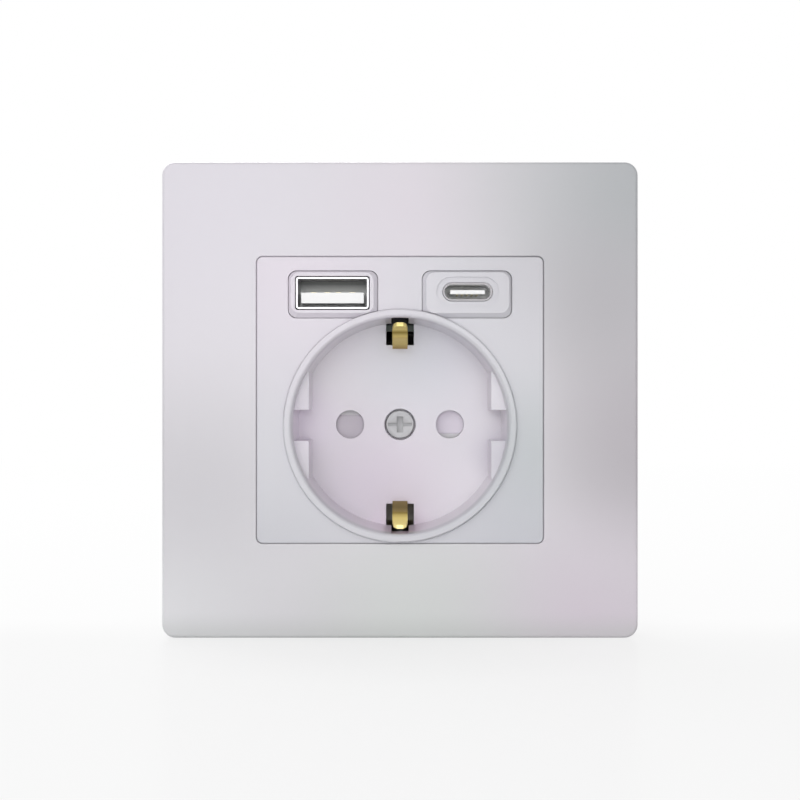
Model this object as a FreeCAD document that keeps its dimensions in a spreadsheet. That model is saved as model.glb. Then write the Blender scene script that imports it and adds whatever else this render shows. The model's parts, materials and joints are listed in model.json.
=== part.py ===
# Flush wall socket: earthed two-pin outlet with side earth clips and two USB charging ports.
# Millimetres. +Z is up and the front faces -Y. The origin is the centre of the cover frame,
# on the wall's surface. "Out" means in front of the wall, so out = -Y, and it is negative in the wall.
import FreeCAD, Part
import math
import os
import re

import Sketcher
from FreeCAD import Vector

os.makedirs("parts", exist_ok=True)
doc = FreeCAD.newDocument("UsbWallSocket")
sheet = doc.addObject("Spreadsheet::Sheet", "Dims")

DIMENSIONS = [
    # Cover frame
    ("frameBand", 17.1, "width of the frame round the centre plate"),
    ("frameCorner", 2.4, "corner radius of the cover frame"),
    ("faceOut", 9, "front face in front of the wall"),
    ("frameEdge", 0.5, "rounding of the frame's front edge"),
    ("frameWall", 2, "outer wall of the frame"),
    ("frameSkin", 2.2, "front skin of the frame"),
    ("past", 1, "cutting shapes run this far past a face"),
    ("loosePlay", 0.2, "clearance between loose neighbours"),
    ("screwPlay", 0.1, "clearance round a bush"),
    ("plateGap", 0.06, "gap round the centre plate"),
    ("collarWall", 1.6, "wall of the collar round the window"),
    ("ledgeIn", 2.5, "how far the ledge reaches in from the window"),
    ("ledgeThick", 1.5, "thickness of the ledge"),
    ("footWide", 3.2, "feet at the collar's corners"),
    ("ribThick", 1, "stiffening ribs"),
    ("ribAt", 14, "ribs to each side of the middle"),
    ("edgeSoft", 0.25, "small rounding of moulded edges"),
    # Centre plate with the plug well
    ("portStrip", 9.5, "plate above the well, for the ports"),
    ("plateCorner", 1.1, "corner radius of the centre plate"),
    ("plateThick", 2, "thickness of the centre plate"),
    ("skirtWall", 1.6, "skirt behind the plate's edge"),
    ("skirtDeep", 2, "how far the skirt reaches back"),
    ("ringMargin", 0.2, "raised ring above the plate's lower edge"),
    ("ringWall", 1.45, "wall of the well at its mouth"),
    ("ringRise", 1, "raised ring in front of the plate"),
    ("ringLine", 0.14, "fine groove round the ring's foot"),
    ("mouthRadius", 19.6, "well at its mouth"),
    ("mouthSoft", 0.6, "rounding of the mouth"),
    ("wellDraft", 0.3, "well narrower at its floor"),
    ("wellDeep", 17.5, "ring's front down to the floor"),
    ("floorThick", 2, "thickness of the floor"),
    ("lugReach", 2.9, "guide lugs reach this far in from the mouth"),
    ("lugSetback", 4.5, "lug fronts behind the ring's front"),
    ("lugGap", 5.7, "channel between two lugs"),
    ("lugBite", 0.2, "lugs run past the wall's face"),
    ("pinPitch", 19, "distance between the two pins"),
    ("pinHole", 2.7, "radius of a pin hole"),
    ("earthWide", 5.3, "earth window in the floor"),
    ("earthLong", 4.3, "length of the earth window"),
    ("earthBite", 0.1, "earth window reaches into the wall"),
    ("notchWide", 3.3, "groove up the wall for the earth clip"),
    ("notchSkin", 0.55, "wall left behind that groove"),
    ("notchStop", 2, "groove ends this far behind the ring's front"),
    ("bossRadius", 4, "screw boss behind the floor"),
    ("bossDeep", 4.1, "length of the screw boss"),
    ("counterRadius", 3, "recess for the screw's head"),
    ("counterDeep", 2.2, "depth of that recess"),
    # USB ports
    ("blockWide", 16.1, "raised block round a port"),
    ("blockTall", 8.45, "height of a block"),
    ("blockSide", 5.75, "block from the plate's side edge"),
    ("blockMargin", 2.6, "block from the plate's upper edge"),
    ("blockCorner", 1.6, "corner radius of a block"),
    ("blockRise", 0.8, "block in front of the plate"),
    ("slopeInner", 0.7, "slope at a block's inner side"),
    ("slopeOuter", 0.45, "slope at a block's outer side"),
    ("slopeLow", 0.85, "slope at a block's lower side"),
    ("slopeHigh", 0.3, "slope at a block's upper side"),
    ("blockGap", 0.1, "gap round a block"),
    ("bezelSide", 2.05, "flange behind the plate, past a block's side"),
    ("bezelUnder", 0.85, "flange below a block"),
    ("bezelOver", 0.7, "flange above a block"),
    ("bezelThick", 1, "thickness of that flange"),
    ("bezelCorner", 1, "corners of that flange"),
    ("bezelGap", 0.2, "flange behind the plate's back"),
    ("bezelLeg", 1.9, "legs that stand on the steel plate"),
    ("bezelLegTall", 4, "height of a leg"),
    ("portShift", 0.1, "ports outward of their blocks' middles"),
    ("wideUp", 4.45, "wide port above its block's lower side"),
    ("ovalUp", 4.65, "oval port above its block's lower side"),
    ("portSetback", 0.1, "shells behind the block's face"),
    ("shellAWide", 13.1, "wide port's shell"),
    ("shellATall", 5.72, "wide port's shell"),
    ("shellACorner", 0.5, "corner of the wide shell"),
    ("shellWall", 0.3, "sheet of both shells"),
    ("shellAGap", 0.2, "gap round the wide shell"),
    ("tongueAWide", 11.3, "wide port's tongue"),
    ("tongueATall", 1.9, "thickness of that tongue"),
    ("tongueAUnder", 0.75, "space under that tongue"),
    ("tongueBack", 0.7, "tongues behind the shells' fronts"),
    ("portBase", 2, "insulator at the bottom of a port"),
    ("contactBack", 2.8, "contacts behind the shells' fronts"),
    ("contactAWide", 1, "contacts of the wide port"),
    ("contactAThick", 0.2, "thickness of those contacts"),
    ("contactAInner", 1, "inner contacts from the port's middle"),
    ("contactAOuter", 3.5, "outer contacts from the port's middle"),
    ("shellCWide", 8.94, "oval port's shell"),
    ("shellCTall", 3.26, "oval port's shell"),
    ("mouthCWide", 9.1, "moulded opening of the oval port"),
    ("mouthCTall", 3.42, "moulded opening of the oval port"),
    ("stepCWide", 11.3, "shallow step round the oval port"),
    ("stepCTall", 5.4, "shallow step round the oval port"),
    ("stepDeep", 0.35, "depth of that step"),
    ("tongueCWide", 6.2, "oval port's tongue"),
    ("tongueCTall", 0.7, "thickness of that tongue"),
    ("contactCPitch", 0.9, "contacts of the oval port"),
    ("contactCWide", 0.35, "width of those contacts"),
    ("contactCThick", 0.08, "thickness of those contacts"),
    ("usbBoardSide", 0.6, "circuit board behind the ports, past its window"),
    ("usbBoardUnder", 2.85, "that board below the blocks"),
    ("usbBoardOver", 0.7, "that board above its window"),
    ("usbBoardCutWide", 3.3, "cut corner, across"),
    ("usbBoardCutTall", 2.8, "cut corner, down"),
    ("boardThick", 1.2, "circuit boards"),
    # Steel support plate
    ("steelInset", 5.5, "steel plate inside the frame's walls"),
    ("steelThick", 1, "thickness of the steel plate"),
    ("steelCorner", 4, "corner radius of the steel plate"),
    ("wellClear", 0.55, "steel plate's opening round the well"),
    ("windowInset", 0.35, "steel plate's port opening inside the blocks' sides"),
    ("windowUnder", 0.3, "that opening's top below the blocks' tops"),
    ("slotInset", 5.5, "box screws, 60 mm apart, from the steel plate's edges"),
    ("slotHalf", 2.6, "box screw slots, centre to end's centre"),
    ("slotRadius", 1.75, "half the width of a slot"),
    ("lipLong", 40, "pressed lips at the plate's edges"),
    ("lipTall", 1.5, "height of a lip"),
    # Housing behind the wall's surface
    ("flangeOver", 1.4, "housing's flange past its round sides"),
    ("roundPlay", 2.1, "housing's round sides outside the well"),
    ("sidePlay", 0.95, "housing's flat sides, inside, from the well"),
    ("underPlay", 0.2, "housing's floor, inside, from the well"),
    ("outerRib", 0.8, "ribs on the housing's top and bottom"),
    ("outerRibAt", 5.44, "those ribs to each side of the middle"),
    ("housingWall", 1.5, "wall of the housing"),
    ("flangeThick", 3, "thickness of the flange"),
    ("housingDeep", 27, "flange's front to the rear cover"),
    ("housingClear", 0.25, "flange's opening round the well"),
    ("boardPlay", 0.1, "play of the board in its recess"),
    ("railWide", 2.6, "rails that carry the power board"),
    ("railThick", 1.4, "thickness of a rail"),
    ("coverThick", 2, "rear cover"),
    ("spigotDeep", 1.2, "spigot of the rear cover"),
    ("spigotWall", 0.8, "wall of that spigot"),
    ("spigotPlay", 0.1, "play of that spigot"),
    ("coverScrewInset", 5.3, "rear cover's screws from the housing's sides"),
    ("entryPlay", 0.6, "wire entries wider than the wire holes"),
    ("funnelWall", 1, "collars round the wire entries"),
    ("funnelTall", 1, "height of a collar"),
    ("coverScrewLow", 10.2, "rear cover's screws from the housing's top and bottom"),
    ("coverBoss", 2.6, "radius of a screw boss"),
    ("coverBossLong", 13, "length of a screw boss"),
    ("blindEnd", 1, "solid end of a screw boss"),
    ("smallHole", 1.25, "hole for a small screw"),
    ("smallShank", 1.2, "shank of a small screw"),
    ("smallHead", 2.2, "head of a small screw"),
    ("smallHeadTall", 1.3, "height of that head"),
    ("smallScrewLong", 8, "length of a small screw under its head"),
    ("steelScrewSide", 4.2, "steel plate's lower screws from the housing's sides"),
    ("steelScrewFoot", 8.6, "steel plate's lower screws from its bottom"),
    ("steelScrewHighX", 8, "steel plate's upper screws from the middle"),
    ("steelScrewHead", 1.8, "steel plate's upper screws from its top"),
    ("steelScrewLong", 3.4, "steel plate's screws under their heads"),
    ("driveWide", 0.7, "slot in a screw's head"),
    ("driveDeep", 0.7, "depth of that slot"),
    # Shutter
    ("shutterFront", 0.3, "play between the floor and the shutter"),
    ("shutterThick", 2.2, "thickness of the shutter"),
    ("hubInner", 4.06, "shutter's bearing on the boss"),
    ("hubOuter", 5.8, "outside of the shutter's hub"),
    ("flapOuter", 12.8, "outer end of a flap"),
    ("flapBack", 3.2, "flap's far edge"),
    ("flapEdge", 1.6, "flap's edge where the ramp starts"),
    ("rampEnd", 3.3, "end of the ramp"),
    ("rampFall", 0.8, "how far the ramp falls back"),
    ("springRadius", 4.75, "coil of the return spring"),
    ("springWire", 0.2, "radius of the spring's wire"),
    ("springPitch", 0.5, "pitch of the spring"),
    ("springTurns", 2, "turns of the spring"),
    ("capThick", 1.4, "shutter cap"),
    ("capRim", 2.5, "shutter cap outside the pin holes"),
    ("capLegWall", 1.3, "wall of the cap's legs"),
    ("capLegInset", 0.3, "legs inside the cap's edge"),
    ("capLegHalf", 2.8, "half the width of a leg"),
    ("capHole", 1.8, "hole for the centre screw"),
    # Contacts
    ("blockFront", 16, "contact block's front behind the wall plane"),
    ("blockHalfWide", 14, "contact block's middle part"),
    ("blockAbove", 6, "contact block above the well's axis"),
    ("blockBelow", 6, "contact block below the well's axis"),
    ("pocketWall", 1, "contact block's wall round a line terminal"),
    ("footWall", 1.2, "contact block's wall round the earth terminal"),
    ("tulipOuter", 3.3, "line contact, outside"),
    ("tulipInner", 2.3, "line contact, inside"),
    ("tulipLong", 10, "length of a line contact"),
    ("tulipBase", 2, "solid ring at the contact's rear"),
    ("tulipSlot", 0.6, "slot in a line contact"),
    ("tulipPlay", 0.15, "line contact in its pocket"),
    ("terminalInset", 6, "line terminals from the housing's sides"),
    ("terminalUp", -9, "height of the line terminals"),
    ("earthTerminalLow", 7.4, "earth terminal from the housing's bottom"),
    ("terminalWide", 7, "terminal blocks"),
    ("terminalLong", 8.5, "length of a terminal block"),
    ("terminalSeat", 0.5, "contact block behind the terminals"),
    ("armInset", 0.6, "contact's arm inside its ends' heights"),
    ("armPlay", 0.3, "play of that arm in its channel"),
    ("terminalFront", 1.5, "terminals behind the contact block's front"),
    ("wireHole", 1.6, "radius of a wire hole"),
    ("wireDeep", 7, "depth of a wire hole"),
    ("clampAt", 4, "clamp screws in front of the terminal's rear"),
    ("clampShank", 1.7, "shank of a clamp screw"),
    ("threadPlay", 0.05, "play of a screw in its thread"),
    ("clampTravel", 2.4, "travel of a clamp screw"),
    ("clampPlay", 0.2, "thread goes past the screw's tip"),
    ("clampHead", 2.8, "head of a clamp screw"),
    ("clampHeadTall", 1.8, "height of that head"),
    ("accessHole", 3.2, "holes in the housing for the clamp screws"),
    # Earth bow
    ("bowThick", 0.7, "brass strip of the earth bow"),
    ("bowWide", 2.8, "width of the earth clips"),
    ("barWide", 8, "width of the bow's bar"),
    ("barHalf", 10, "half the length of the wide part of the bar"),
    ("bowArmIn", 2.3, "arms of the bow inside the well's floor radius"),
    ("bowBulgeIn", 5.2, "clips at their narrowest inside that radius"),
    ("bowBend", 1.6, "bends of the bow"),
    ("bulgeOut", -1, "where the clips are narrowest"),
    ("bowKneeIn", 3.3, "bend below the tips, inside that radius"),
    ("kneeOut", 4.4, "that bend in front of the wall plane"),
    ("bowTipIn", 1.2, "tips of the clips inside that radius"),
    ("tipRound", 0.8, "rounded corners of the tips"),
    ("tipOut", 6.4, "tips of the clips in front of the wall plane"),
    ("bushOuter", 2.6, "threaded bush"),
    ("bushLong", 4, "length of the bush"),
    ("screwShank", 1.45, "centre screw's shank"),
    ("screwLong", 10.5, "length of that shank"),
    ("screwHead", 2.7, "centre screw's head"),
    ("screwHeadTall", 1.7, "height of that head"),
    ("slotLong", 2.3, "slot of the centre screw, middle to end"),
    ("slotWide", 0.6, "width of that slot"),
    ("crossWide", 1.15, "cross bar of the centre screw"),
    ("crossTall", 1.5, "cross bar, middle to end"),
    ("crossDeep", 1.3, "depth of the cross"),
    # Claws
    ("clawScrewPlay", 1.8, "claw screws from the housing's sides"),
    ("clawUp", 8, "height of the claw screws"),
    ("clawPivot", 6, "claw's ear behind the wall plane"),
    ("clawSheet", 1, "sheet of a claw"),
    ("clawPlay", 0.2, "claws from the housing's sides"),
    ("clawLow", 4.5, "lower edge of a claw"),
    ("clawHigh", 11.5, "upper edge of a claw"),
    ("clawEnd", 22, "claw's toe behind the wall plane"),
    ("clawReach", 3.7, "points of a toe from the housing's sides"),
    ("clawBend", 0.4, "bend of a claw's sheet"),
    ("clawHole", 1.9, "hole in the ear"),
    ("earWall", 0.8, "ear outside its hole"),
    ("earInset", 1, "ear narrower than the claw, each side"),
    ("toothDeep", 1, "teeth of the toe"),
    ("clawShank", 1.5, "shank of a claw screw"),
    ("clawScrewLong", 7.4, "length of a claw screw under its head"),
    ("clawHead", 2.6, "head of a claw screw"),
    ("clawHeadTall", 1.8, "height of that head"),
    # Power supply for the ports
    ("powerBoardUp", 13.2, "underside of the power board"),
    ("powerBoardFront", 11, "front edge of the power board"),
    ("powerBoardBack", 26.6, "rear edge of the power board"),
    ("powerBoardPlay", 1.6, "power board from the housing's walls"),
    ("coreHalf", 7.2, "transformer core, half its width"),
    ("coreSoft", 1, "rounding of the core's top"),
    ("coreTall", 8.6, "height of the transformer"),
    ("coreFront", 13, "front of the transformer"),
    ("coreLong", 12, "length of the transformer"),
    ("windingRadius", 3.9, "winding of the transformer"),
    ("windingOver", 1.6, "winding beyond the core, each end"),
    ("capacitorRadius", 3.9, "smoothing capacitors"),
    ("capacitorLong", 11, "length of a capacitor"),
    ("capacitorAcross", 14.6, "capacitors from the middle"),
    ("capacitorFront", 13.5, "front of the capacitors"),
    ("chipHalf", 2.5, "controller chip, half its side"),
    ("chipTall", 1.1, "height of the chip"),
    ("chipAcross", 12, "chip from the middle"),
    ("chipMiddle", 17, "chip behind the wall plane"),
    ("linkAcross", 14, "pin header from the middle"),
    ("linkHalf", 4, "pin header, half its width"),
    ("linkTall", 2.5, "height of the pin header"),
    ("linkOver", 2.5, "pin header over the power board"),
]

# Sizes that follow from those above
DERIVED = {
    "plateWide": "2 * wellRadius + ringMargin + portStrip",
    "frameWide": "plateWide + 2 * frameBand",
    "wellRadius": "mouthRadius + ringWall",
    "floorRadius": "mouthRadius - wellDraft",
    "wellDrop": "plateWide / 2 - wellRadius - ringMargin",
    "lugFlat": "mouthRadius - lugReach",
    "lugTop": "sqrt(floorRadius ^ 2 - lugFlat ^ 2) + lugBite",
    "lugRoot": "(mouthRadius + wellRadius) / 2",
    "earthOuter": "floorRadius + earthBite",
    "earthInner": "earthOuter - earthLong",
    "notchOuter": "wellRadius - notchSkin",
    "blockRight": "plateWide / 2 - blockSide",
    "blockLeft": "blockRight - blockWide",
    "blockHigh": "plateWide / 2 - blockMargin",
    "blockLow": "blockHigh - blockTall",
    "bezelWide": "2 * (blockRight + bezelSide)",
    "bezelLow": "blockLow - bezelUnder",
    "bezelHigh": "blockHigh + bezelOver",
    "portAcross": "(blockLeft + blockRight) / 2 + portShift",
    "portTypeAUp": "blockLow + wideUp",
    "portTypeCUp": "blockLow + ovalUp",
    "portWindowHalf": "blockRight - windowInset",
    "portWindowTop": "blockHigh - windowUnder",
    "usbBoardWide": "2 * (portWindowHalf + usbBoardSide)",
    "usbBoardLow": "blockLow - usbBoardUnder",
    "usbBoardHigh": "portWindowTop + usbBoardOver",
    "plateSteelWide": "frameWide - 2 * frameWall - 2 * steelInset",
    "boxPitch": "plateSteelWide - 2 * slotInset",
    "housingRadius": "wellDrop + wellRadius + roundPlay",
    "flangeRadius": "housingRadius + flangeOver",
    "housingHalfWide": "wellRadius + sidePlay + housingWall",
    "housingHalfTall": "wellDrop + wellRadius + underPlay + housingWall",
    "coverScrewAcross": "housingHalfWide - coverScrewInset",
    "coverScrewUp": "housingHalfTall - coverScrewLow",
    "steelScrewLowX": "housingHalfWide - steelScrewSide",
    "steelScrewLowZ": "housingHalfTall - steelScrewFoot",
    "steelScrewHighZ": "housingHalfTall - steelScrewHead",
    "earthTerminalUp": "earthTerminalLow - housingHalfTall",
    "powerBoardHalf": "housingHalfWide - housingWall - powerBoardPlay",
    "terminalAcross": "housingHalfWide - terminalInset",
    "capRadius": "pinPitch / 2 + pinHole + capRim",
    "bowArm": "floorRadius - bowArmIn",
    "bowBulge": "floorRadius - bowBulgeIn",
    "bowKnee": "floorRadius - bowKneeIn",
    "bowTip": "floorRadius - bowTipIn",
    "clawAcross": "housingHalfWide + clawScrewPlay",
    "clawInner": "housingHalfWide + clawPlay",
    "clawOuter": "housingHalfWide + clawReach",
}

names = [name for name, number, note in DIMENSIONS]
for line, (name, number, note) in enumerate(DIMENSIONS, 1):
    sheet.set("A%d" % line, name)
    sheet.set("B%d" % line, str(number))
    sheet.set("C%d" % line, note)
    sheet.setAlias("B%d" % line, name)
doc.recompute()

FRONT = "XZ_Plane"  # sketch x is X, sketch y is Z, and the normal points out of the wall
SIDE = "YZ_Plane"  # sketch x is Y, sketch y is Z, and the normal is +X
TOP = "XY_Plane"  # sketch x is X, sketch y is Y, and the normal is +Z
parts = []


def cell(text):
    """Turn a formula of dimension names into one that the sheet understands."""
    def word(found):
        name = found.group()
        if name in DERIVED:
            return "(%s)" % cell(DERIVED[name])
        return "Dims." + name if name in names else name
    return re.sub(r"[A-Za-z]\w*", word, str(text))


def value(text):
    return float(sheet.evalExpression(cell(text)))


def minus(text):
    return "-(%s)" % text


def part(label, up="0"):
    body = doc.addObject("PartDesign::Body", label)
    body.Label = label
    if up != "0":
        body.setExpression("Placement.Base.z", cell(up))
    doc.recompute()
    parts.append(body)
    return body


def sketch_on(body, role, lift, shapes):
    plane = [item for item in body.Origin.OriginFeatures if item.Role == role][0]
    sketch = body.newObject("Sketcher::SketchObject", "Sketch")
    sketch.AttachmentSupport = (plane, [""])
    sketch.MapMode = "FlatFace"
    sketch.setExpression("AttachmentOffset.Base.z", cell(lift))
    for draw in shapes:
        draw(sketch)
    doc.recompute()
    return sketch


def bind(sketch, kind, where, formula):
    spot = sketch.addConstraint(Sketcher.Constraint(kind, *where, value(formula)))
    sketch.setExpression("Constraints[%d]" % spot, cell(formula))


def pin_down(sketch, edge, point, across, up):
    bind(sketch, "DistanceX", (-1, 1, edge, point), across)
    bind(sketch, "DistanceY", (-1, 1, edge, point), up)


def circle(across, up, radius):
    def draw(sketch):
        shape = Part.Circle(Vector(value(across), value(up), 0), Vector(0, 0, 1), value(radius))
        edge = sketch.addGeometry(shape)
        pin_down(sketch, edge, 3, across, up)
        bind(sketch, "Radius", (edge,), radius)
    return draw


def polygon(points):
    def draw(sketch):
        spots = [Vector(value(across), value(up), 0) for across, up in points]
        ends = spots[1:] + spots[:1]
        edges = [sketch.addGeometry(Part.LineSegment(a, b)) for a, b in zip(spots, ends)]
        for this, following in zip(edges, edges[1:] + edges[:1]):
            sketch.addConstraint(Sketcher.Constraint("Coincident", this, 2, following, 1))
        for edge, (across, up) in zip(edges, points):
            pin_down(sketch, edge, 1, across, up)
    return draw


def box(left, low, right, high):
    return polygon([(left, low), (right, low), (right, high), (left, high)])


def rounded(left, low, right, high, radius):
    """A rectangle with round corners, between two opposite corners."""
    def draw(sketch):
        quarter = math.pi / 2
        r = value(radius)
        x0, z0, x1, z1 = value(left), value(low), value(right), value(high)
        starts = [(x0 + r, z1, x1 - r, z1), (x1, z1 - r, x1, z0 + r)]
        starts += [(x1 - r, z0, x0 + r, z0), (x0, z0 + r, x0, z1 - r)]
        lines = [sketch.addGeometry(Part.LineSegment(Vector(a, b, 0), Vector(c, d, 0)))
                 for a, b, c, d in starts]
        turns = [(x1 - r, z1 - r, 0), (x1 - r, z0 + r, 3), (x0 + r, z0 + r, 2), (x0 + r, z1 - r, 1)]
        arcs = []
        for x, z, step in turns:
            arc = Part.Circle(Vector(x, z, 0), Vector(0, 0, 1), r)
            arc = Part.ArcOfCircle(arc, step * quarter, (step + 1) * quarter)
            arcs.append(sketch.addGeometry(arc))
        rules = []
        for spot in range(4):
            following = lines[(spot + 1) % 4]
            rules.append(Sketcher.Constraint("Tangent", lines[spot], 2, arcs[spot], 2))
            rules.append(Sketcher.Constraint("Tangent", arcs[spot], 1, following, 1))
        rules += [Sketcher.Constraint("Horizontal", lines[0]), Sketcher.Constraint("Vertical", lines[1])]
        rules += [Sketcher.Constraint("Horizontal", lines[2]), Sketcher.Constraint("Vertical", lines[3])]
        rules += [Sketcher.Constraint("Equal", arcs[0], arc) for arc in arcs[1:3]]
        sketch.addConstraint(rules)
        bind(sketch, "Radius", (arcs[0],), radius)
        pin_down(sketch, arcs[0], 3, "%s - (%s)" % (right, radius), "%s - (%s)" % (high, radius))
        pin_down(sketch, arcs[2], 3, "%s + (%s)" % (left, radius), "%s + (%s)" % (low, radius))
    return draw


def square(side, radius):
    half = "(%s) / 2" % side
    return rounded(minus(half), minus(half), half, half, radius)


def slot(across, up, half, radius):
    return capsule("%s - (%s)" % (across, half), "%s + (%s)" % (across, half), up, radius)


def capsule(left, right, up, radius):
    """A level slot with round ends, between the centres of its ends."""
    def draw(sketch):
        r = value(radius)
        x0, x1, z = value(left), value(right), value(up)
        quarter = math.pi / 2
        upper = sketch.addGeometry(Part.LineSegment(Vector(x0, z + r, 0), Vector(x1, z + r, 0)))
        lower = sketch.addGeometry(Part.LineSegment(Vector(x1, z - r, 0), Vector(x0, z - r, 0)))
        turn = Part.Circle(Vector(x1, z, 0), Vector(0, 0, 1), r)
        east = sketch.addGeometry(Part.ArcOfCircle(turn, -quarter, quarter))
        turn = Part.Circle(Vector(x0, z, 0), Vector(0, 0, 1), r)
        west = sketch.addGeometry(Part.ArcOfCircle(turn, quarter, 3 * quarter))
        sketch.addConstraint([
            Sketcher.Constraint("Tangent", upper, 2, east, 2),
            Sketcher.Constraint("Tangent", east, 1, lower, 1),
            Sketcher.Constraint("Tangent", lower, 2, west, 2),
            Sketcher.Constraint("Tangent", west, 1, upper, 1),
            Sketcher.Constraint("Horizontal", upper)])
        bind(sketch, "Radius", (east,), radius)
        pin_down(sketch, east, 3, right, up)
        bind(sketch, "DistanceX", (-1, 1, west, 3), left)
    return draw


def barrel(radius, half_wide, half_tall):
    """A circle about the origin, cut flat at both sides and at top and bottom."""
    def draw(sketch):
        r, a, b = value(radius), value(half_wide), value(half_tall)
        low = math.asin(math.sqrt(r * r - a * a) / r)
        high = math.asin(b / r)
        arcs = []
        for start, end in ((low, high), (math.pi - high, math.pi - low),
                           (math.pi + low, math.pi + high), (-high, -low)):
            ring = Part.Circle(Vector(0, 0, 0), Vector(0, 0, 1), r)
            arcs.append(sketch.addGeometry(Part.ArcOfCircle(ring, start, end)))
        corner = [Vector(r * math.cos(t), r * math.sin(t), 0)
                  for t in (high, math.pi - high, math.pi - low, math.pi + low,
                            math.pi + high, -high, -low, low)]
        lines = [sketch.addGeometry(Part.LineSegment(corner[2 * spot], corner[2 * spot + 1]))
                 for spot in range(4)]
        for spot, arc in enumerate(arcs):
            following = arcs[(spot + 1) % 4]
            sketch.addConstraint(Sketcher.Constraint("Coincident", arc, 3, -1, 1))
            sketch.addConstraint(Sketcher.Constraint("Coincident", arc, 2, lines[spot], 1))
            sketch.addConstraint(Sketcher.Constraint("Coincident", lines[spot], 2, following, 1))
        for spot in (0, 2):
            sketch.addConstraint(Sketcher.Constraint("Horizontal", lines[spot]))
        for spot in (1, 3):
            sketch.addConstraint(Sketcher.Constraint("Vertical", lines[spot]))
        for arc in arcs[1:]:
            sketch.addConstraint(Sketcher.Constraint("Equal", arcs[0], arc))
        bind(sketch, "Radius", (arcs[0],), radius)
        bind(sketch, "DistanceX", (-1, 1, lines[3], 1), half_wide)
        bind(sketch, "DistanceY", (-1, 1, lines[0], 1), half_tall)
        bind(sketch, "DistanceX", (-1, 1, lines[1], 1), minus(half_wide))
        bind(sketch, "DistanceY", (-1, 1, lines[2], 1), minus(half_tall))
    return draw


def volume(body):
    return 0 if body.Tip is None else body.Tip.Shape.Volume


def add(body, role, low, high, *shapes):
    """Pad the shapes from one distance along the plane's normal to another."""
    sketch = sketch_on(body, role, low, shapes)
    feature = body.newObject("PartDesign::Pad", "Pad")
    feature.Profile = sketch
    feature.setExpression("Length", cell("(%s) - (%s)" % (high, low)))
    doc.recompute()
    return feature


def cut(body, role, low, high, *shapes):
    """Pocket the shapes between two distances along the plane's normal."""
    before = volume(body)
    sketch = sketch_on(body, role, high, shapes)
    feature = body.newObject("PartDesign::Pocket", "Pocket")
    feature.Profile = sketch
    feature.setExpression("Length", cell("(%s) - (%s)" % (high, low)))
    doc.recompute()
    if volume(body) >= before - 1e-6:
        raise RuntimeError("a pocket cut nothing in " + body.Label)
    return feature


def turned(body, kind, up, points):
    """Revolve a profile of (out, radius) points about the line along Y at this height."""
    outline = polygon([(minus(out), radius) for out, radius in points])
    sketch = sketch_on(body, SIDE, "0", [outline])
    if up != "0":
        sketch.setExpression("AttachmentOffset.Base.y", cell(up))
    feature = body.newObject("PartDesign::" + kind, kind)
    feature.Profile = sketch
    feature.ReferenceAxis = (sketch, ["H_Axis"])
    feature.Angle = 360
    doc.recompute()
    return feature


def loft(body, low, shape_low, high, shape_high):
    first = sketch_on(body, FRONT, low, [shape_low])
    second = sketch_on(body, FRONT, high, [shape_high])
    feature = body.newObject("PartDesign::AdditiveLoft", "Loft")
    feature.Profile = first
    feature.Sections = [second]
    feature.Ruled = True
    doc.recompute()
    return feature


def near(left, right):
    return abs(left - right) < 1e-4


def soften(body, radius, wanted, kind="Fillet"):
    """Round or bevel the edges that the test picks."""
    tip = body.Tip
    picked = ["Edge%d" % spot for spot, edge in enumerate(tip.Shape.Edges, 1) if wanted(edge)]
    if not picked:
        raise RuntimeError("no edge to round in " + body.Label)
    feature = body.newObject("PartDesign::" + kind, kind)
    feature.Base = (tip, picked)
    feature.setExpression("Radius" if kind == "Fillet" else "Size", cell(radius))
    doc.recompute()
    if "Invalid" in feature.State:
        raise RuntimeError("a rounding of %s failed in %s" % (radius, body.Label))
    return feature


def level(edge, out):
    """An edge that lies wholly at one distance out of the wall."""
    return near(edge.BoundBox.YMin, -value(out)) and near(edge.BoundBox.YMax, -value(out))


def within(edge, half):
    """An edge inside a square about the origin, in the front view."""
    bounds = edge.BoundBox
    return max(abs(bounds.XMin), abs(bounds.XMax), abs(bounds.ZMin), abs(bounds.ZMax)) < half


def round_edge(edge, out, radius):
    is_round = hasattr(edge.Curve, "Radius") and near(edge.Curve.Radius, value(radius))
    return level(edge, out) and is_round


both = (-1, 1)
wellUp = "-wellDrop"
ringOut = "faceOut + ringRise"
floorOut = "ringRise + faceOut - wellDeep"
floorBack = floorOut + " - floorThick"
frameInner = "plateWide + 2 * plateGap"
ledgeOut = "faceOut - plateThick - skirtDeep"
collarBack = ledgeOut + " - ledgeThick"


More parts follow.
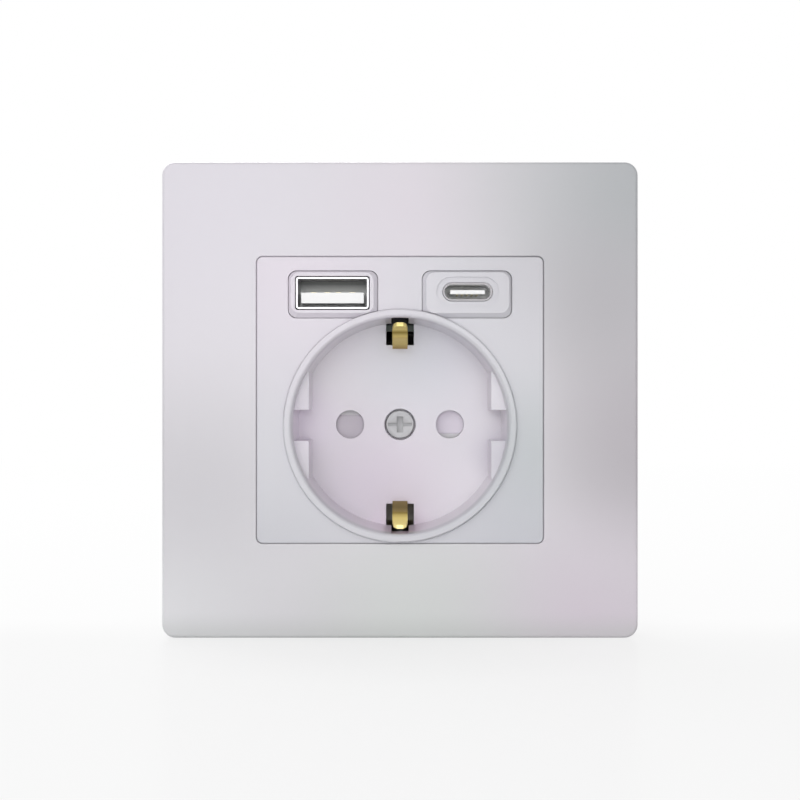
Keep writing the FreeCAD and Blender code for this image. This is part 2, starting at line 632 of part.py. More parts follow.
def cover_frame():
    body = part("cover_frame")
    add(body, FRONT, "0", "faceOut", square("frameWide", "frameCorner"))
    soften(body, "frameEdge", lambda edge: level(edge, "faceOut"))
    hollow = square("frameWide - 2 * frameWall", "frameCorner")
    collar = square(frameInner + " + 2 * collarWall", "plateCorner + collarWall")
    cut(body, FRONT, "0", collarBack, hollow)
    cut(body, FRONT, collarBack, "faceOut - frameSkin", hollow, collar)
    cut(body, FRONT, ledgeOut, "faceOut", square(frameInner, "plateCorner"))
    cut(body, FRONT, collarBack, ledgeOut, square(frameInner + " - 2 * ledgeIn", "plateCorner"))
    cut(body, FRONT, collarBack, ledgeOut, circle("0", wellUp, "wellRadius + plateGap"))
    inner = value(frameInner) / 2 + 0.01
    soften(body, "edgeSoft", lambda edge: level(edge, "faceOut") and within(edge, inner))
    outer = "(%s) / 2 + collarWall" % frameInner
    for side in both:
        for end in both:
            near_x, far_x = "%d * (%s - footWide)" % (side, outer), "%d * (%s)" % (side, outer)
            near_z, far_z = "%d * (%s - footWide)" % (end, outer), "%d * (%s)" % (end, outer)
            low_x, high_x = sorted((near_x, far_x), key=value)
            low_z, high_z = sorted((near_z, far_z), key=value)
            foot = rounded(low_x, low_z, high_x, high_z, "footWide / 4")
            add(body, FRONT, "steelThick", collarBack, foot)
    wall = "frameWide / 2 - frameWall / 2"
    for side in both:
        for spot in both:
            middle = "%d * ribAt" % spot
            thin = (middle + " - ribThick / 2", middle + " + ribThick / 2")
            ends = sorted(("%d * (%s)" % (side, outer + " - collarWall / 2"),
                           "%d * (%s)" % (side, wall)), key=value)
            reach = (collarBack, "faceOut - frameSkin / 2")
            add(body, FRONT, *reach, box(ends[0], thin[0], ends[1], thin[1]))
            add(body, FRONT, *reach, box(thin[0], ends[0], thin[1], ends[1]))
    return body


def block_sides(side, grow):
    """Corners of a raised USB block, left (-1) or right (1), larger by a gap."""
    near_x, far_x = "blockLeft - (%s)" % grow, "blockRight + (%s)" % grow
    if side > 0:
        return near_x, far_x
    return minus(far_x), minus(near_x)


def block_outline(side, grow):
    left, right = block_sides(side, grow)
    low, high = "blockLow - (%s)" % grow, "blockHigh + (%s)" % grow
    return rounded(left, low, right, high, "blockCorner")


def block_face(side):
    near_x, far_x = "blockLeft + slopeInner", "blockRight - slopeOuter"
    left, right = (near_x, far_x) if side > 0 else (minus(far_x), minus(near_x))
    return rounded(left, "blockLow + slopeLow", right, "blockHigh - slopeHigh", "blockCorner")


def centre_plate():
    body = part("centre_plate")
    back = "faceOut - plateThick"
    outline = square("plateWide", "plateCorner")
    add(body, FRONT, back, "faceOut", outline)
    soften(body, "edgeSoft", lambda edge: level(edge, "faceOut"))
    skirt = square("plateWide - 2 * skirtWall", "plateCorner / 2")
    add(body, FRONT, ledgeOut, back, outline, skirt)
    cut(body, FRONT, back, "faceOut", block_outline(-1, "blockGap"), block_outline(1, "blockGap"))
    add(body, FRONT, floorBack, ringOut, circle("0", wellUp, "wellRadius"))
    turned(body, "Groove", wellUp, [
        (ringOut + " + past", "0"), (ringOut + " + past", "mouthRadius"), (ringOut, "mouthRadius"),
        (floorOut, "floorRadius"), (floorOut, "0")])
    soften(body, "mouthSoft", lambda edge: round_edge(edge, ringOut, "mouthRadius"))
    soften(body, "ringRise / 4", lambda edge: round_edge(edge, ringOut, "wellRadius"))
    cut(body, FRONT, "faceOut - ringLine", "faceOut", circle("0", wellUp, "wellRadius + ringLine"),
        circle("0", wellUp, "wellRadius"))
    lugs = []
    for side in both:
        for end in both:
            half = "lugGap / 2"
            across = lambda height: "%d * sqrt(lugRoot ^ 2 - (%s) ^ 2)" % (side, height)
            points = [("%d * lugFlat" % side, half), (across(half), half),
                      (across("lugTop"), "lugTop"), ("%d * lugFlat" % side, "lugTop")]
            points = [(x, "%s + %d * (%s)" % (wellUp, end, z)) for x, z in points]
            lugs.append(polygon(points))
    add(body, FRONT, floorOut, ringOut + " - lugSetback", *lugs)
    add(body, FRONT, floorBack + " - bossDeep", floorBack, circle("0", wellUp, "bossRadius"))
    pins = [circle("%d * pinPitch / 2" % side, wellUp, "pinHole") for side in both]
    cut(body, FRONT, floorBack, floorOut, *pins)
    cut(body, FRONT, floorOut + " - counterDeep", floorOut, circle("0", wellUp, "counterRadius"))
    cut(body, FRONT, floorBack + " - bossDeep", floorOut + " - counterDeep",
        circle("0", wellUp, "capHole"))
    for end in both:
        low, high = "%s + %d * earthInner" % (wellUp, end), "%s + %d * earthOuter" % (wellUp, end)
        low, high = sorted((low, high), key=value)
        cut(body, FRONT, floorBack, floorOut, box("-earthWide / 2", low, "earthWide / 2", high))
        low = "%s + %d * (floorRadius - past)" % (wellUp, end)
        high = "%s + %d * notchOuter" % (wellUp, end)
        low, high = sorted((low, high), key=value)
        cut(body, FRONT, floorBack, ringOut + " - notchStop",
            box("-notchWide / 2", low, "notchWide / 2", high))
    return body


def support_plate():
    body = part("support_plate")
    half = "plateSteelWide / 2"
    add(body, FRONT, "0", "steelThick", square("plateSteelWide", "steelCorner"))
    cut(body, FRONT, "0", "steelThick", circle("0", wellUp, "wellRadius + wellClear"))
    cut(body, FRONT, "0", "steelThick", box("-portWindowHalf", "0", "portWindowHalf", "portWindowTop"))
    for side in both:
        middle = "%d * boxPitch / 2" % side
        cut(body, FRONT, "0", "steelThick", slot(middle, "0", "slotHalf", "slotRadius"))
        cut(body, FRONT, "0", "steelThick", slot("0", middle, "slotHalf", "slotRadius"))
        cut(body, FRONT, "0", "steelThick",
            circle("%d * clawAcross" % side, "clawUp", "clawShank + threadPlay"))
    screws = [circle(x, z, "smallShank + threadPlay") for x, z in steel_screw_spots()]
    cut(body, FRONT, "0", "steelThick", *screws)
    for side in both:
        edge = sorted(("%d * (%s)" % (side, half), "%d * (%s - steelThick)" % (side, half)), key=value)
        ends = ("-lipLong / 2", "lipLong / 2")
        top = "steelThick + lipTall"
        add(body, FRONT, "steelThick", top, box(edge[0], ends[0], edge[1], ends[1]))
        add(body, FRONT, "steelThick", top, box(ends[0], edge[0], ends[1], edge[1]))
    return body


def steel_screw_spots():
    low = [("%d * steelScrewLowX" % side, "-steelScrewLowZ") for side in both]
    return low + [("%d * steelScrewHighX" % side, "steelScrewHighZ") for side in both]


def cover_screw_spots():
    return [("%d * coverScrewAcross" % side, "%d * coverScrewUp" % end)
            for side in both for end in both]


def board_outline(play):
    half = "usbBoardWide / 2 + " + play
    top = "usbBoardHigh + " + play
    corner = (half + " - usbBoardCutWide", top + " - usbBoardCutTall")
    right = [(half, "usbBoardLow - " + play), (half, corner[1]), (corner[0], top)]
    left = [(minus(x), z) for x, z in reversed(right)]
    return polygon(right + left)


def housing():
    body = part("housing")
    back = "-housingDeep"
    sides = ("housingHalfWide", "housingHalfTall")
    inner = ("housingHalfWide - housingWall", "housingHalfTall - housingWall")
    add(body, FRONT, back, "-flangeThick", barrel("housingRadius", *sides),
        barrel("housingRadius - housingWall", *inner))
    add(body, FRONT, "-flangeThick", "0", barrel("flangeRadius", *sides))
    well = circle("0", wellUp, "wellRadius + housingClear")
    cut(body, FRONT, "-flangeThick", "0", well)
    cut(body, FRONT, "-boardThick", "0", board_outline("boardPlay"))
    low, high = "powerBoardUp + boardThick - threadPlay", "powerBoardUp + boardThick + linkTall + loosePlay"
    cut(body, FRONT, "-flangeThick", "0", box("linkAcross - linkHalf - loosePlay", low,
                                              "linkAcross + linkHalf + loosePlay", high))
    bosses = [circle(x, z, "coverBoss") for x, z in cover_screw_spots()]
    add(body, FRONT, back, back + " + coverBossLong", *bosses)
    holes = [circle(x, z, "smallHole") for x, z in cover_screw_spots()]
    cut(body, FRONT, back, back + " + coverBossLong - blindEnd", *holes)
    cut(body, FRONT, "-flangeThick", "0", *[circle(x, z, "smallHole") for x, z in steel_screw_spots()])
    for side in both:
        ends = sorted(("%d * (housingHalfWide - housingWall / 2)" % side,
                       "%d * (housingHalfWide - railWide - housingWall / 2)" % side), key=value)
        add(body, FRONT, back + " + spigotDeep + loosePlay", "-powerBoardFront",
            box(ends[0], "powerBoardUp - railThick", ends[1], "powerBoardUp"))
    for step in both:
        for end in both:
            ends = sorted(("%d * (housingHalfTall - housingWall / 2)" % end,
                           "%d * (housingHalfTall + outerRib)" % end), key=value)
            middle = "%d * outerRibAt" % step
            add(body, FRONT, back, "-flangeThick", box(middle + " - ribThick / 2", ends[0],
                                                       middle + " + ribThick / 2", ends[1]))
    spot = "blockFront + terminalFront + terminalLong - clampAt"
    cut(body, SIDE, "-housingHalfWide", minus(inner[0] + " - past"), circle(spot, "terminalUp", "accessHole"))
    cut(body, SIDE, inner[0] + " - past", "housingHalfWide", circle(spot, "terminalUp", "accessHole"))
    cut(body, TOP, "-housingHalfTall", minus(inner[1] + " - past"), circle("0", spot, "accessHole"))
    return body


def rear_cover():
    body = part("rear_cover")
    back = "-housingDeep - coverThick"
    add(body, FRONT, back, "-housingDeep",
        barrel("housingRadius", "housingHalfWide", "housingHalfTall"))
    outer = [size + " - housingWall - spigotPlay" for size in ("housingRadius", "housingHalfWide", "housingHalfTall")]
    inner = [size + " - spigotWall" for size in outer]
    add(body, FRONT, "-housingDeep", "-housingDeep + spigotDeep", barrel(*outer), barrel(*inner))
    bosses = [circle(x, z, "coverBoss + spigotPlay") for x, z in cover_screw_spots()]
    cut(body, FRONT, "-housingDeep", "-housingDeep + spigotDeep", *bosses)
    holes = [circle(x, z, "smallShank + threadPlay") for x, z in cover_screw_spots()]
    cut(body, FRONT, back, "-housingDeep", *holes)
    wires = [("%d * terminalAcross" % side, "terminalUp") for side in both] + [("0", "earthTerminalUp")]
    collars = [circle(across, up, "wireHole + entryPlay + funnelWall") for across, up in wires]
    add(body, FRONT, back + " - funnelTall", back, *collars)
    for across, up in wires:
        cut(body, FRONT, back + " - funnelTall", "-housingDeep", circle(across, up, "wireHole + entryPlay"))
    heads = [circle(x, z, "smallHead + loosePlay") for x, z in cover_screw_spots()]
    cut(body, FRONT, back, back + " + coverThick / 2", *heads)
    return body


def usb_bezel():
    body = part("usb_bezel")
    front = "faceOut - plateThick - bezelGap"
    half = "bezelWide / 2"
    add(body, FRONT, front + " - bezelThick", front, rounded(minus(half), "bezelLow", half, "bezelHigh", "bezelCorner"))
    add(body, FRONT, front, "faceOut", block_outline(-1, "0"), block_outline(1, "0"))
    for side in both:
        loft(body, "faceOut", block_outline(side, "0"), "faceOut + blockRise", block_face(side))
    top = "faceOut + blockRise"
    cut(body, FRONT, front + " - bezelThick", top, circle("0", wellUp, "wellRadius + blockGap"))
    play = "shellAGap"
    wide, tall = "shellAWide / 2 + " + play, "shellATall / 2 + " + play
    cut(body, FRONT, front + " - bezelThick", top,
        rounded("-portAcross - (%s)" % wide, "portTypeAUp - (%s)" % tall,
                "-portAcross + " + wide, "portTypeAUp + " + tall, "shellACorner"))
    step = "(stepCWide - stepCTall) / 2"
    cut(body, FRONT, top + " - stepDeep", top, slot("portAcross", "portTypeCUp", step, "stepCTall / 2"))
    mouth = slot("portAcross", "portTypeCUp", "(mouthCWide - mouthCTall) / 2", "mouthCTall / 2")
    cut(body, FRONT, front + " - bezelThick", top + " - stepDeep", mouth)
    for side in both:
        ends = sorted(("%d * (%s)" % (side, half), "%d * (%s - bezelLeg)" % (side, half)), key=value)
        low = "bezelHigh - bezelCorner - bezelLegTall"
        add(body, FRONT, "steelThick", front + " - bezelThick", box(ends[0], low, ends[1], "bezelHigh - bezelCorner"))
    return body


shellOut = "faceOut + blockRise - portSetback"


def port_a_outline(shrink):
    wide, tall = "shellAWide / 2 - (%s)" % shrink, "shellATall / 2 - (%s)" % shrink
    return rounded("-portAcross - (%s)" % wide, "portTypeAUp - (%s)" % tall,
                   "-portAcross + " + wide, "portTypeAUp + " + tall, "shellACorner - (%s)" % shrink)


def port_c_outline(shrink):
    return slot("portAcross", "portTypeCUp", "(shellCWide - shellCTall) / 2", "shellCTall / 2 - (%s)" % shrink)


def usb_ports():
    shell = part("usb_a_shell")
    add(shell, FRONT, "0", shellOut, port_a_outline("0"), port_a_outline("shellWall"))
    tongue = part("usb_a_tongue")
    add(tongue, FRONT, "0", "portBase", port_a_outline("shellWall"))
    low = "portTypeAUp - shellATall / 2 + shellWall + tongueAUnder"
    high = low + " + tongueATall"
    add(tongue, FRONT, "portBase", shellOut + " - tongueBack",
        box("-portAcross - tongueAWide / 2", low, "-portAcross + tongueAWide / 2", high))
    contacts = part("usb_a_contacts")
    strips = []
    for step in ("-contactAOuter", "-contactAInner", "contactAInner", "contactAOuter"):
        middle = "-portAcross + " + step
        strips.append(box(middle + " - contactAWide / 2", high, middle + " + contactAWide / 2",
                          high + " + contactAThick"))
    add_groups(contacts, "portBase", shellOut + " - contactBack", strips)
    shell = part("usb_c_shell")
    add(shell, FRONT, "0", shellOut, port_c_outline("0"), port_c_outline("shellWall"))
    tongue = part("usb_c_tongue")
    add(tongue, FRONT, "0", "portBase", port_c_outline("shellWall"))
    half = "tongueCTall / 2"
    add(tongue, FRONT, "portBase", shellOut + " - tongueBack",
        box("portAcross - tongueCWide / 2", "portTypeCUp - " + half,
            "portAcross + tongueCWide / 2", "portTypeCUp + " + half))
    contacts = part("usb_c_contacts")
    strips = []
    for step in range(-2, 3):
        middle = "portAcross + %d * contactCPitch" % step
        for side in both:
            ends = sorted(("portTypeCUp + %d * %s" % (side, half),
                           "portTypeCUp + %d * (%s + contactCThick)" % (side, half)), key=value)
            strips.append(box(middle + " - contactCWide / 2", ends[0], middle + " + contactCWide / 2", ends[1]))
    add_groups(contacts, "portBase", shellOut + " - contactBack", strips)


def add_groups(body, low, high, shapes):
    """Separate solids of one group: the body allows them, and each gets its own pad."""
    body.AllowCompound = True
    for shape in shapes:
        add(body, FRONT, low, high, shape)


def boards():
    body = part("usb_board")
    add(body, FRONT, "-boardThick", "0", board_outline("0"))
    cut(body, FRONT, "-boardThick", "0", circle("0", wellUp, "wellRadius + housingClear"))
    power = part("power_board")
    top = "powerBoardUp + boardThick"
    add(power, FRONT, "-powerBoardBack", "-powerBoardFront",
        box("-powerBoardHalf", "powerBoardUp", "powerBoardHalf", top))
    core = part("transformer")
    front, back = "-coreFront", "-coreFront - coreLong"
    add(core, FRONT, back, front, box("-coreHalf", top, "coreHalf", top + " + coreTall"))
    soften(core, "coreSoft", lambda edge: edge.BoundBox.ZMin > value(top) + 0.1)
    winding = circle("coreFront + coreLong / 2", top + " + coreTall / 2", "windingRadius")
    add(core, SIDE, "-coreHalf - windingOver", "coreHalf + windingOver", winding)
    jars = part("capacitors")
    middle = "powerBoardUp - capacitorRadius"
    cans = [circle("%d * capacitorAcross" % side, middle, "capacitorRadius") for side in both]
    add_groups(jars, "-capacitorFront - capacitorLong", "-capacitorFront", cans)
    chip = part("controller_chip")
    add(chip, FRONT, "-chipMiddle - chipHalf", "-chipMiddle + chipHalf",
        box("-chipAcross - chipHalf", top, "-chipAcross + chipHalf", top + " + chipTall"))
    link = part("board_link")
    add(link, FRONT, "-powerBoardFront - linkOver", "-boardThick",
        box("linkAcross - linkHalf", top, "linkAcross + linkHalf", top + " + linkTall"))


def shutter_parts():
    front = floorBack + " - shutterFront"
    back = front + " - shutterThick"
    rotor = part("shutter", wellUp)
    add(rotor, FRONT, back, front, circle("0", "0", "hubOuter"), circle("0", "0", "hubInner"))
    for side in both:
        points = [("-flapBack", front), ("flapEdge", front), ("rampEnd", front + " - rampFall"),
                  ("rampEnd", back), ("-flapBack", back)]
        points = [(minus(out), "%d * (%s)" % (-side, height)) for height, out in points]
        low, high = sorted(("%d * hubInner * 1.2" % side, "%d * flapOuter" % side), key=value)
        add(rotor, SIDE, low, high, polygon(points))
    cap = part("shutter_cap", wellUp)
    capFront = floorBack + " - bossDeep"
    capBack = capFront + " - capThick"
    add(cap, FRONT, capBack, capFront, circle("0", "0", "capRadius"), circle("0", "0", "capHole"))
    cut(cap, FRONT, capBack, capFront,
        *[circle("%d * pinPitch / 2" % side, "0", "pinHole") for side in both])
    for end in both:
        inner, outer = "capRadius - capLegInset - capLegWall", "capRadius - capLegInset"
        ends = sorted(("%d * (%s)" % (end, inner), "%d * (%s)" % (end, outer)), key=value)
        add(cap, FRONT, capFront, floorBack, box("-capLegHalf", ends[0], "capLegHalf", ends[1]))
    spring = part("shutter_spring", wellUp)
    start = minus(back) + " + springWire / 2"
    wire = polygon([(start, "springRadius - springWire"), (start + " + 2 * springWire", "springRadius - springWire"),
                    (start + " + 2 * springWire", "springRadius + springWire"),
                    (start, "springRadius + springWire")])
    profile = sketch_on(spring, SIDE, "0", [wire])
    coil = spring.newObject("PartDesign::AdditiveHelix", "Coil")
    coil.Profile = profile
    coil.ReferenceAxis = (profile, ["H_Axis"])
    coil.Mode = "pitch-turns-angle"
    coil.setExpression("Pitch", cell("springPitch"))
    coil.setExpression("Turns", cell("springTurns"))
    doc.recompute()


terminalStart = "blockFront + terminalFront"
terminalEnd = terminalStart + " + terminalLong"
clampSpot = terminalEnd + " - clampAt"


def contact_block():
    body = part("contact_block")
    front, back = "-blockFront", "-housingDeep"
    low, high = wellUp + " - blockBelow", wellUp + " + blockAbove"
    outer = "terminalAcross + terminalWide / 2"
    wing = ("terminalUp - terminalWide / 2 - pocketWall", "terminalUp + terminalWide / 2 + pocketWall")
    foot = "earthTerminalUp - terminalWide / 2"
    right = [("blockHalfWide", high), ("blockHalfWide", wing[1]), (outer, wing[1]), (outer, wing[0]),
             ("terminalWide / 2 + footWall", wing[0]), ("terminalWide / 2 + footWall", foot)]
    left = [(minus(x), z) for x, z in reversed(right)]
    add(body, FRONT, back, front, polygon(right + left))
    pockets = [circle("%d * pinPitch / 2" % side, wellUp, "tulipOuter + tulipPlay") for side in both]
    cut(body, FRONT, back, front, *pockets)
    for side in both:
        ends = sorted(("%d * (terminalAcross - terminalWide / 2)" % side, "%d * (%s)" % (side, outer)), key=value)
        cut(body, FRONT, back, front + " - terminalFront",
            box(ends[0], "terminalUp - terminalWide / 2", ends[1], "terminalUp + terminalWide / 2"))
        ends = sorted(("%d * (pinPitch / 2 + tulipInner)" % side,
                       "%d * (terminalAcross - terminalWide / 2)" % side), key=value)
        cut(body, FRONT, back, "-(%s) + clampAt + loosePlay" % terminalEnd,
            box(ends[0], "terminalUp + armInset - armPlay", ends[1], wellUp + " - armInset + armPlay"))
    cut(body, FRONT, back, front + " - terminalFront",
        box("-terminalWide / 2", foot, "terminalWide / 2", "earthTerminalUp + terminalWide / 2"))
    cut(body, FRONT, back, front, circle("0", wellUp, "bushOuter + screwPlay"))


def line_contact(label, side):
    body = part(label)
    back = minus(terminalEnd + " + terminalSeat")
    middle = "%d * pinPitch / 2" % side
    add(body, FRONT, back, back + " + tulipLong", circle(middle, wellUp, "tulipOuter"),
        circle(middle, wellUp, "tulipInner"))
    for wide, tall in (("tulipSlot / 2", "tulipOuter + past"), ("tulipOuter + past", "tulipSlot / 2")):
        cut(body, FRONT, back + " + tulipBase", back + " + tulipLong",
            box("%s - (%s)" % (middle, wide), "%s - (%s)" % (wellUp, tall),
                "%s + (%s)" % (middle, wide), "%s + (%s)" % (wellUp, tall)))
    ends = sorted(("%d * (pinPitch / 2 + tulipInner + loosePlay)" % side,
                   "%d * (terminalAcross - terminalWide / 2)" % side), key=value)
    add(body, FRONT, back, back + " + tulipBase",
        box(ends[0], "terminalUp + armInset", ends[1], wellUp + " - armInset"))


def terminal(label, across, up, role, side):
    """A brass block with a wire hole from the rear and a threaded hole for its clamp screw."""
    body = part(label)
    half = "terminalWide / 2"
    add(body, FRONT, minus(terminalEnd), minus(terminalStart),
        box("%s - %s" % (across, half), "%s - %s" % (up, half), "%s + %s" % (across, half), "%s + %s" % (up, half)))
    cut(body, FRONT, minus(terminalEnd), minus(terminalEnd) + " + wireDeep", circle(across, up, "wireHole"))
    thread = "clampShank + threadPlay"
    reach = "clampTravel - wireHole + clampPlay"
    if role == SIDE:
        ends = sorted(("%s - %d * (%s)" % (across, side, reach), "%s + %d * %s" % (across, side, half)), key=value)
        cut(body, SIDE, ends[0], ends[1], circle(clampSpot, up, thread))
    else:
        cut(body, TOP, "%s - %s" % (up, half), "%s + %s" % (up, reach), circle(across, clampSpot, thread))


def clamp_screw(label, role, side, start, across):
    """A screw along X (left or right) or along -Z, drawn back so that the wire hole is free."""
    body = part(label)
    head = "%s + %d * (terminalWide / 2 + clampTravel + threadPlay)" % (start, side)
    tip = "%s + %d * wireHole" % (start, side)
    top = "%s + %d * clampHeadTall" % (head, side)
    spot = (clampSpot, across) if role == SIDE else (across, clampSpot)
    ends = sorted((tip, head), key=value)
    add(body, role, ends[0], ends[1], circle(*spot, "clampShank"))
    ends = sorted((head, top), key=value)
    add(body, role, ends[0], ends[1], circle(*spot, "clampHead"))
    soften(body, "edgeSoft", lambda edge: near(abs(getattr(edge.BoundBox, "XMin" if role == SIDE else "ZMin")),
                                                   abs(value(top))) and hasattr(edge.Curve, "Radius"))
    ends = sorted((top + " - %d * driveDeep" % side, top), key=value)
    wide = "clampHead + past"
    cut(body, role, ends[0], ends[1],
        box("%s - (%s)" % (spot[0], "driveWide / 2"), "%s - (%s)" % (spot[1], wide),
            "%s + (%s)" % (spot[0], "driveWide / 2"), "%s + (%s)" % (spot[1], wide)))


def earth_parts():
    bow = part("earth_bow", wellUp)
    back = "-blockFront"
    front = back + " + bowThick"
    t = "bowThick"
    for end in both:
        centre = [("0", back), ("bowArm", back), ("bowArm", floorBack + " - past"),
                  ("bowBulge", "bulgeOut"), ("bowKnee", "kneeOut"), ("bowTip", "tipOut")]
        inner = [("0", front), ("bowArm", front)]
        points = [(z, out) for z, out in inner] + centre[2:]
        points += [(z + " + " + t, out) for z, out in reversed(centre[1:])] + [centre[0]]
        points = [(minus(out), "%d * (%s)" % (end, z)) for z, out in points]
        add(bow, SIDE, "-bowWide / 2", "bowWide / 2", polygon(points))
        bends = [-value("bulgeOut"), -value("kneeOut")]
        soften(bow, "bowBend", lambda edge: near(edge.BoundBox.XLength, value("bowWide"))
               and any(near(edge.BoundBox.YMin, bend) for bend in bends)
               and (edge.BoundBox.ZMin > 0) == (end > 0))
    add(bow, FRONT, back, front, box("-barWide / 2", "-barHalf", "barWide / 2", "barHalf"))
    cut(bow, FRONT, back, front, circle("0", "0", "capHole"))
    for side in both:
        steps = ((0, 1), (0.3, 0.3), (1, 0), (1, -0.2), (-0.2, -0.2), (-0.2, 1))
        bite = [("%d * (bowWide / 2 - %s * tipRound)" % (side, across), "%s * tipRound - tipOut" % down)
                for across, down in steps]
        cut(bow, TOP, "-bowTip - past", "bowTip + past", polygon(bite))
    bush = part("earth_bush", wellUp)
    add(bush, FRONT, back + " - bushLong", back, circle("0", "0", "bushOuter"),
        circle("0", "0", "screwShank + threadPlay"))
    screw = part("centre_screw", wellUp)
    seat = floorOut + " - counterDeep"
    add(screw, FRONT, seat + " - screwLong", seat, circle("0", "0", "screwShank"))
    add(screw, FRONT, seat, seat + " + screwHeadTall", circle("0", "0", "screwHead"))
    top = seat + " + screwHeadTall"
    soften(screw, "edgeSoft", lambda edge: round_edge(edge, top, "screwHead"))
    cut(screw, FRONT, top + " - driveDeep", top, box("-slotLong", "-slotWide / 2", "slotLong", "slotWide / 2"))
    cut(screw, FRONT, top + " - crossDeep", top, box("-crossWide / 2", "-crossTall", "crossWide / 2", "crossTall"))


def small_screws(label, spots, seat, long, side):
    """A group of like screws; side 1 has the heads out of the wall, -1 into it."""
    body = part(label)
    body.AllowCompound = True
    for across, up in spots:
        ends = sorted((seat, "%s - %d * (%s)" % (seat, side, long)), key=value)
        add(body, FRONT, ends[0], ends[1], circle(across, up, "smallShank"))
        top = "%s + %d * smallHeadTall" % (seat, side)
        ends = sorted((seat, top), key=value)
        add(body, FRONT, ends[0], ends[1], circle(across, up, "smallHead"))
        ends = sorted((top, "%s - %d * driveDeep" % (top, side)), key=value)
        cut(body, FRONT, ends[0], ends[1],
            box("%s - smallHead - past" % across, "%s - driveWide / 2" % up,
                "%s + smallHead + past" % across, "%s + driveWide / 2" % up))


def claw(label, side):
    """Bent from sheet: an ear on the screw, a web along the housing and a toothed toe."""
    body = part(label)
    def across(text):
        return "%d * (%s)" % (side, text)
    def span(role, low, high, left, bottom, right, top):
        left, right = sorted((left, right), key=value)
        add(body, role, low, high, box(left, bottom, right, top))
    half = "clawSheet / 2"
    span(FRONT, "-clawEnd", "-clawPivot + " + half, across("clawInner"), "clawLow",
         across("clawInner + clawSheet"), "clawHigh")
    span(FRONT, "-clawPivot - " + half, "-clawPivot + " + half, across("clawInner"), "clawLow + earInset",
         across("clawAcross + clawHole + earWall"), "clawHigh - earInset")
    teeth = [("clawInner", "clawLow"), ("clawOuter - toothDeep", "clawLow")]
    for step in range(3):
        low = "clawLow + %d * (clawHigh - clawLow) / 3" % step
        teeth.append(("clawOuter", low + " + (clawHigh - clawLow) / 6"))
        teeth.append(("clawOuter - toothDeep", low + " + (clawHigh - clawLow) / 3"))
    teeth.append(("clawInner", "clawHigh"))
    add(body, FRONT, "-clawEnd", "-clawEnd + clawSheet", polygon([(across(x), z) for x, z in teeth]))
    cut(body, FRONT, "-clawPivot - " + half, "-clawPivot + " + half,
        circle(across("clawAcross"), "clawUp", "clawHole"))
    bend_x = value("clawInner")
    soften(body, "clawBend", lambda edge: near(abs(edge.BoundBox.XMin), bend_x) and near(edge.BoundBox.XLength, 0)
           and near(edge.BoundBox.YLength, 0) and near(edge.BoundBox.YMin, value("clawEnd")))


def claw_screw(label, side):
    body = part(label)
    spot = ("%d * clawAcross" % side, "clawUp")
    add(body, FRONT, "steelThick - clawScrewLong", "steelThick", circle(*spot, "clawShank"))
    top = "steelThick + clawHeadTall"
    add(body, FRONT, "steelThick", top, circle(*spot, "clawHead"))
    soften(body, "edgeSoft", lambda edge: round_edge(edge, top, "clawHead"))
    cut(body, FRONT, top + " - driveDeep", top,
        box(spot[0] + " - clawHead - past", "clawUp - driveWide / 2",
            spot[0] + " + clawHead + past", "clawUp + driveWide / 2"))


cover_frame()
centre_plate()
support_plate()
housing()
rear_cover()
usb_bezel()
usb_ports()
boards()
shutter_parts()
contact_block()
line_contact("live_contact", -1)
line_contact("neutral_contact", 1)
terminal("live_terminal", "-terminalAcross", "terminalUp", SIDE, -1)
terminal("neutral_terminal", "terminalAcross", "terminalUp", SIDE, 1)
terminal("earth_terminal", "0", "earthTerminalUp", TOP, -1)
clamp_screw("live_screw", SIDE, -1, "-terminalAcross", "terminalUp")
clamp_screw("neutral_screw", SIDE, 1, "terminalAcross", "terminalUp")
clamp_screw("earth_screw", TOP, -1, "earthTerminalUp", "0")
earth_parts()
small_screws("plate_screws", steel_screw_spots(), "steelThick", "steelScrewLong", 1)
small_screws("cover_screws", cover_screw_spots(), "-housingDeep - coverThick / 2", "smallScrewLong", -1)
for side, word in ((-1, "left"), (1, "right")):
    claw(word + "_claw", side)
    claw_screw(word + "_claw_screw", side)

doc.recompute()
for item in doc.Objects:
    if "Invalid" in item.State or "Error" in item.State:
        raise RuntimeError("failed: %s %s" % (item.Label, item.State))
for item in parts:
    shape = item.Shape
    if shape.isNull() or not shape.isValid() or shape.Volume <= 0:
        raise RuntimeError("bad shape: " + item.Label)
for item in parts:
    item.Shape.exportStep("parts/%s.step" % item.Label)
    box_size = item.Shape.BoundBox
    print("%-18s solids %d  volume %9.2f  y %7.2f %7.2f" % (
        item.Label, len(item.Shape.Solids), item.Shape.Volume, box_size.YMin, box_size.YMax))
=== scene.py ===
import json
import math

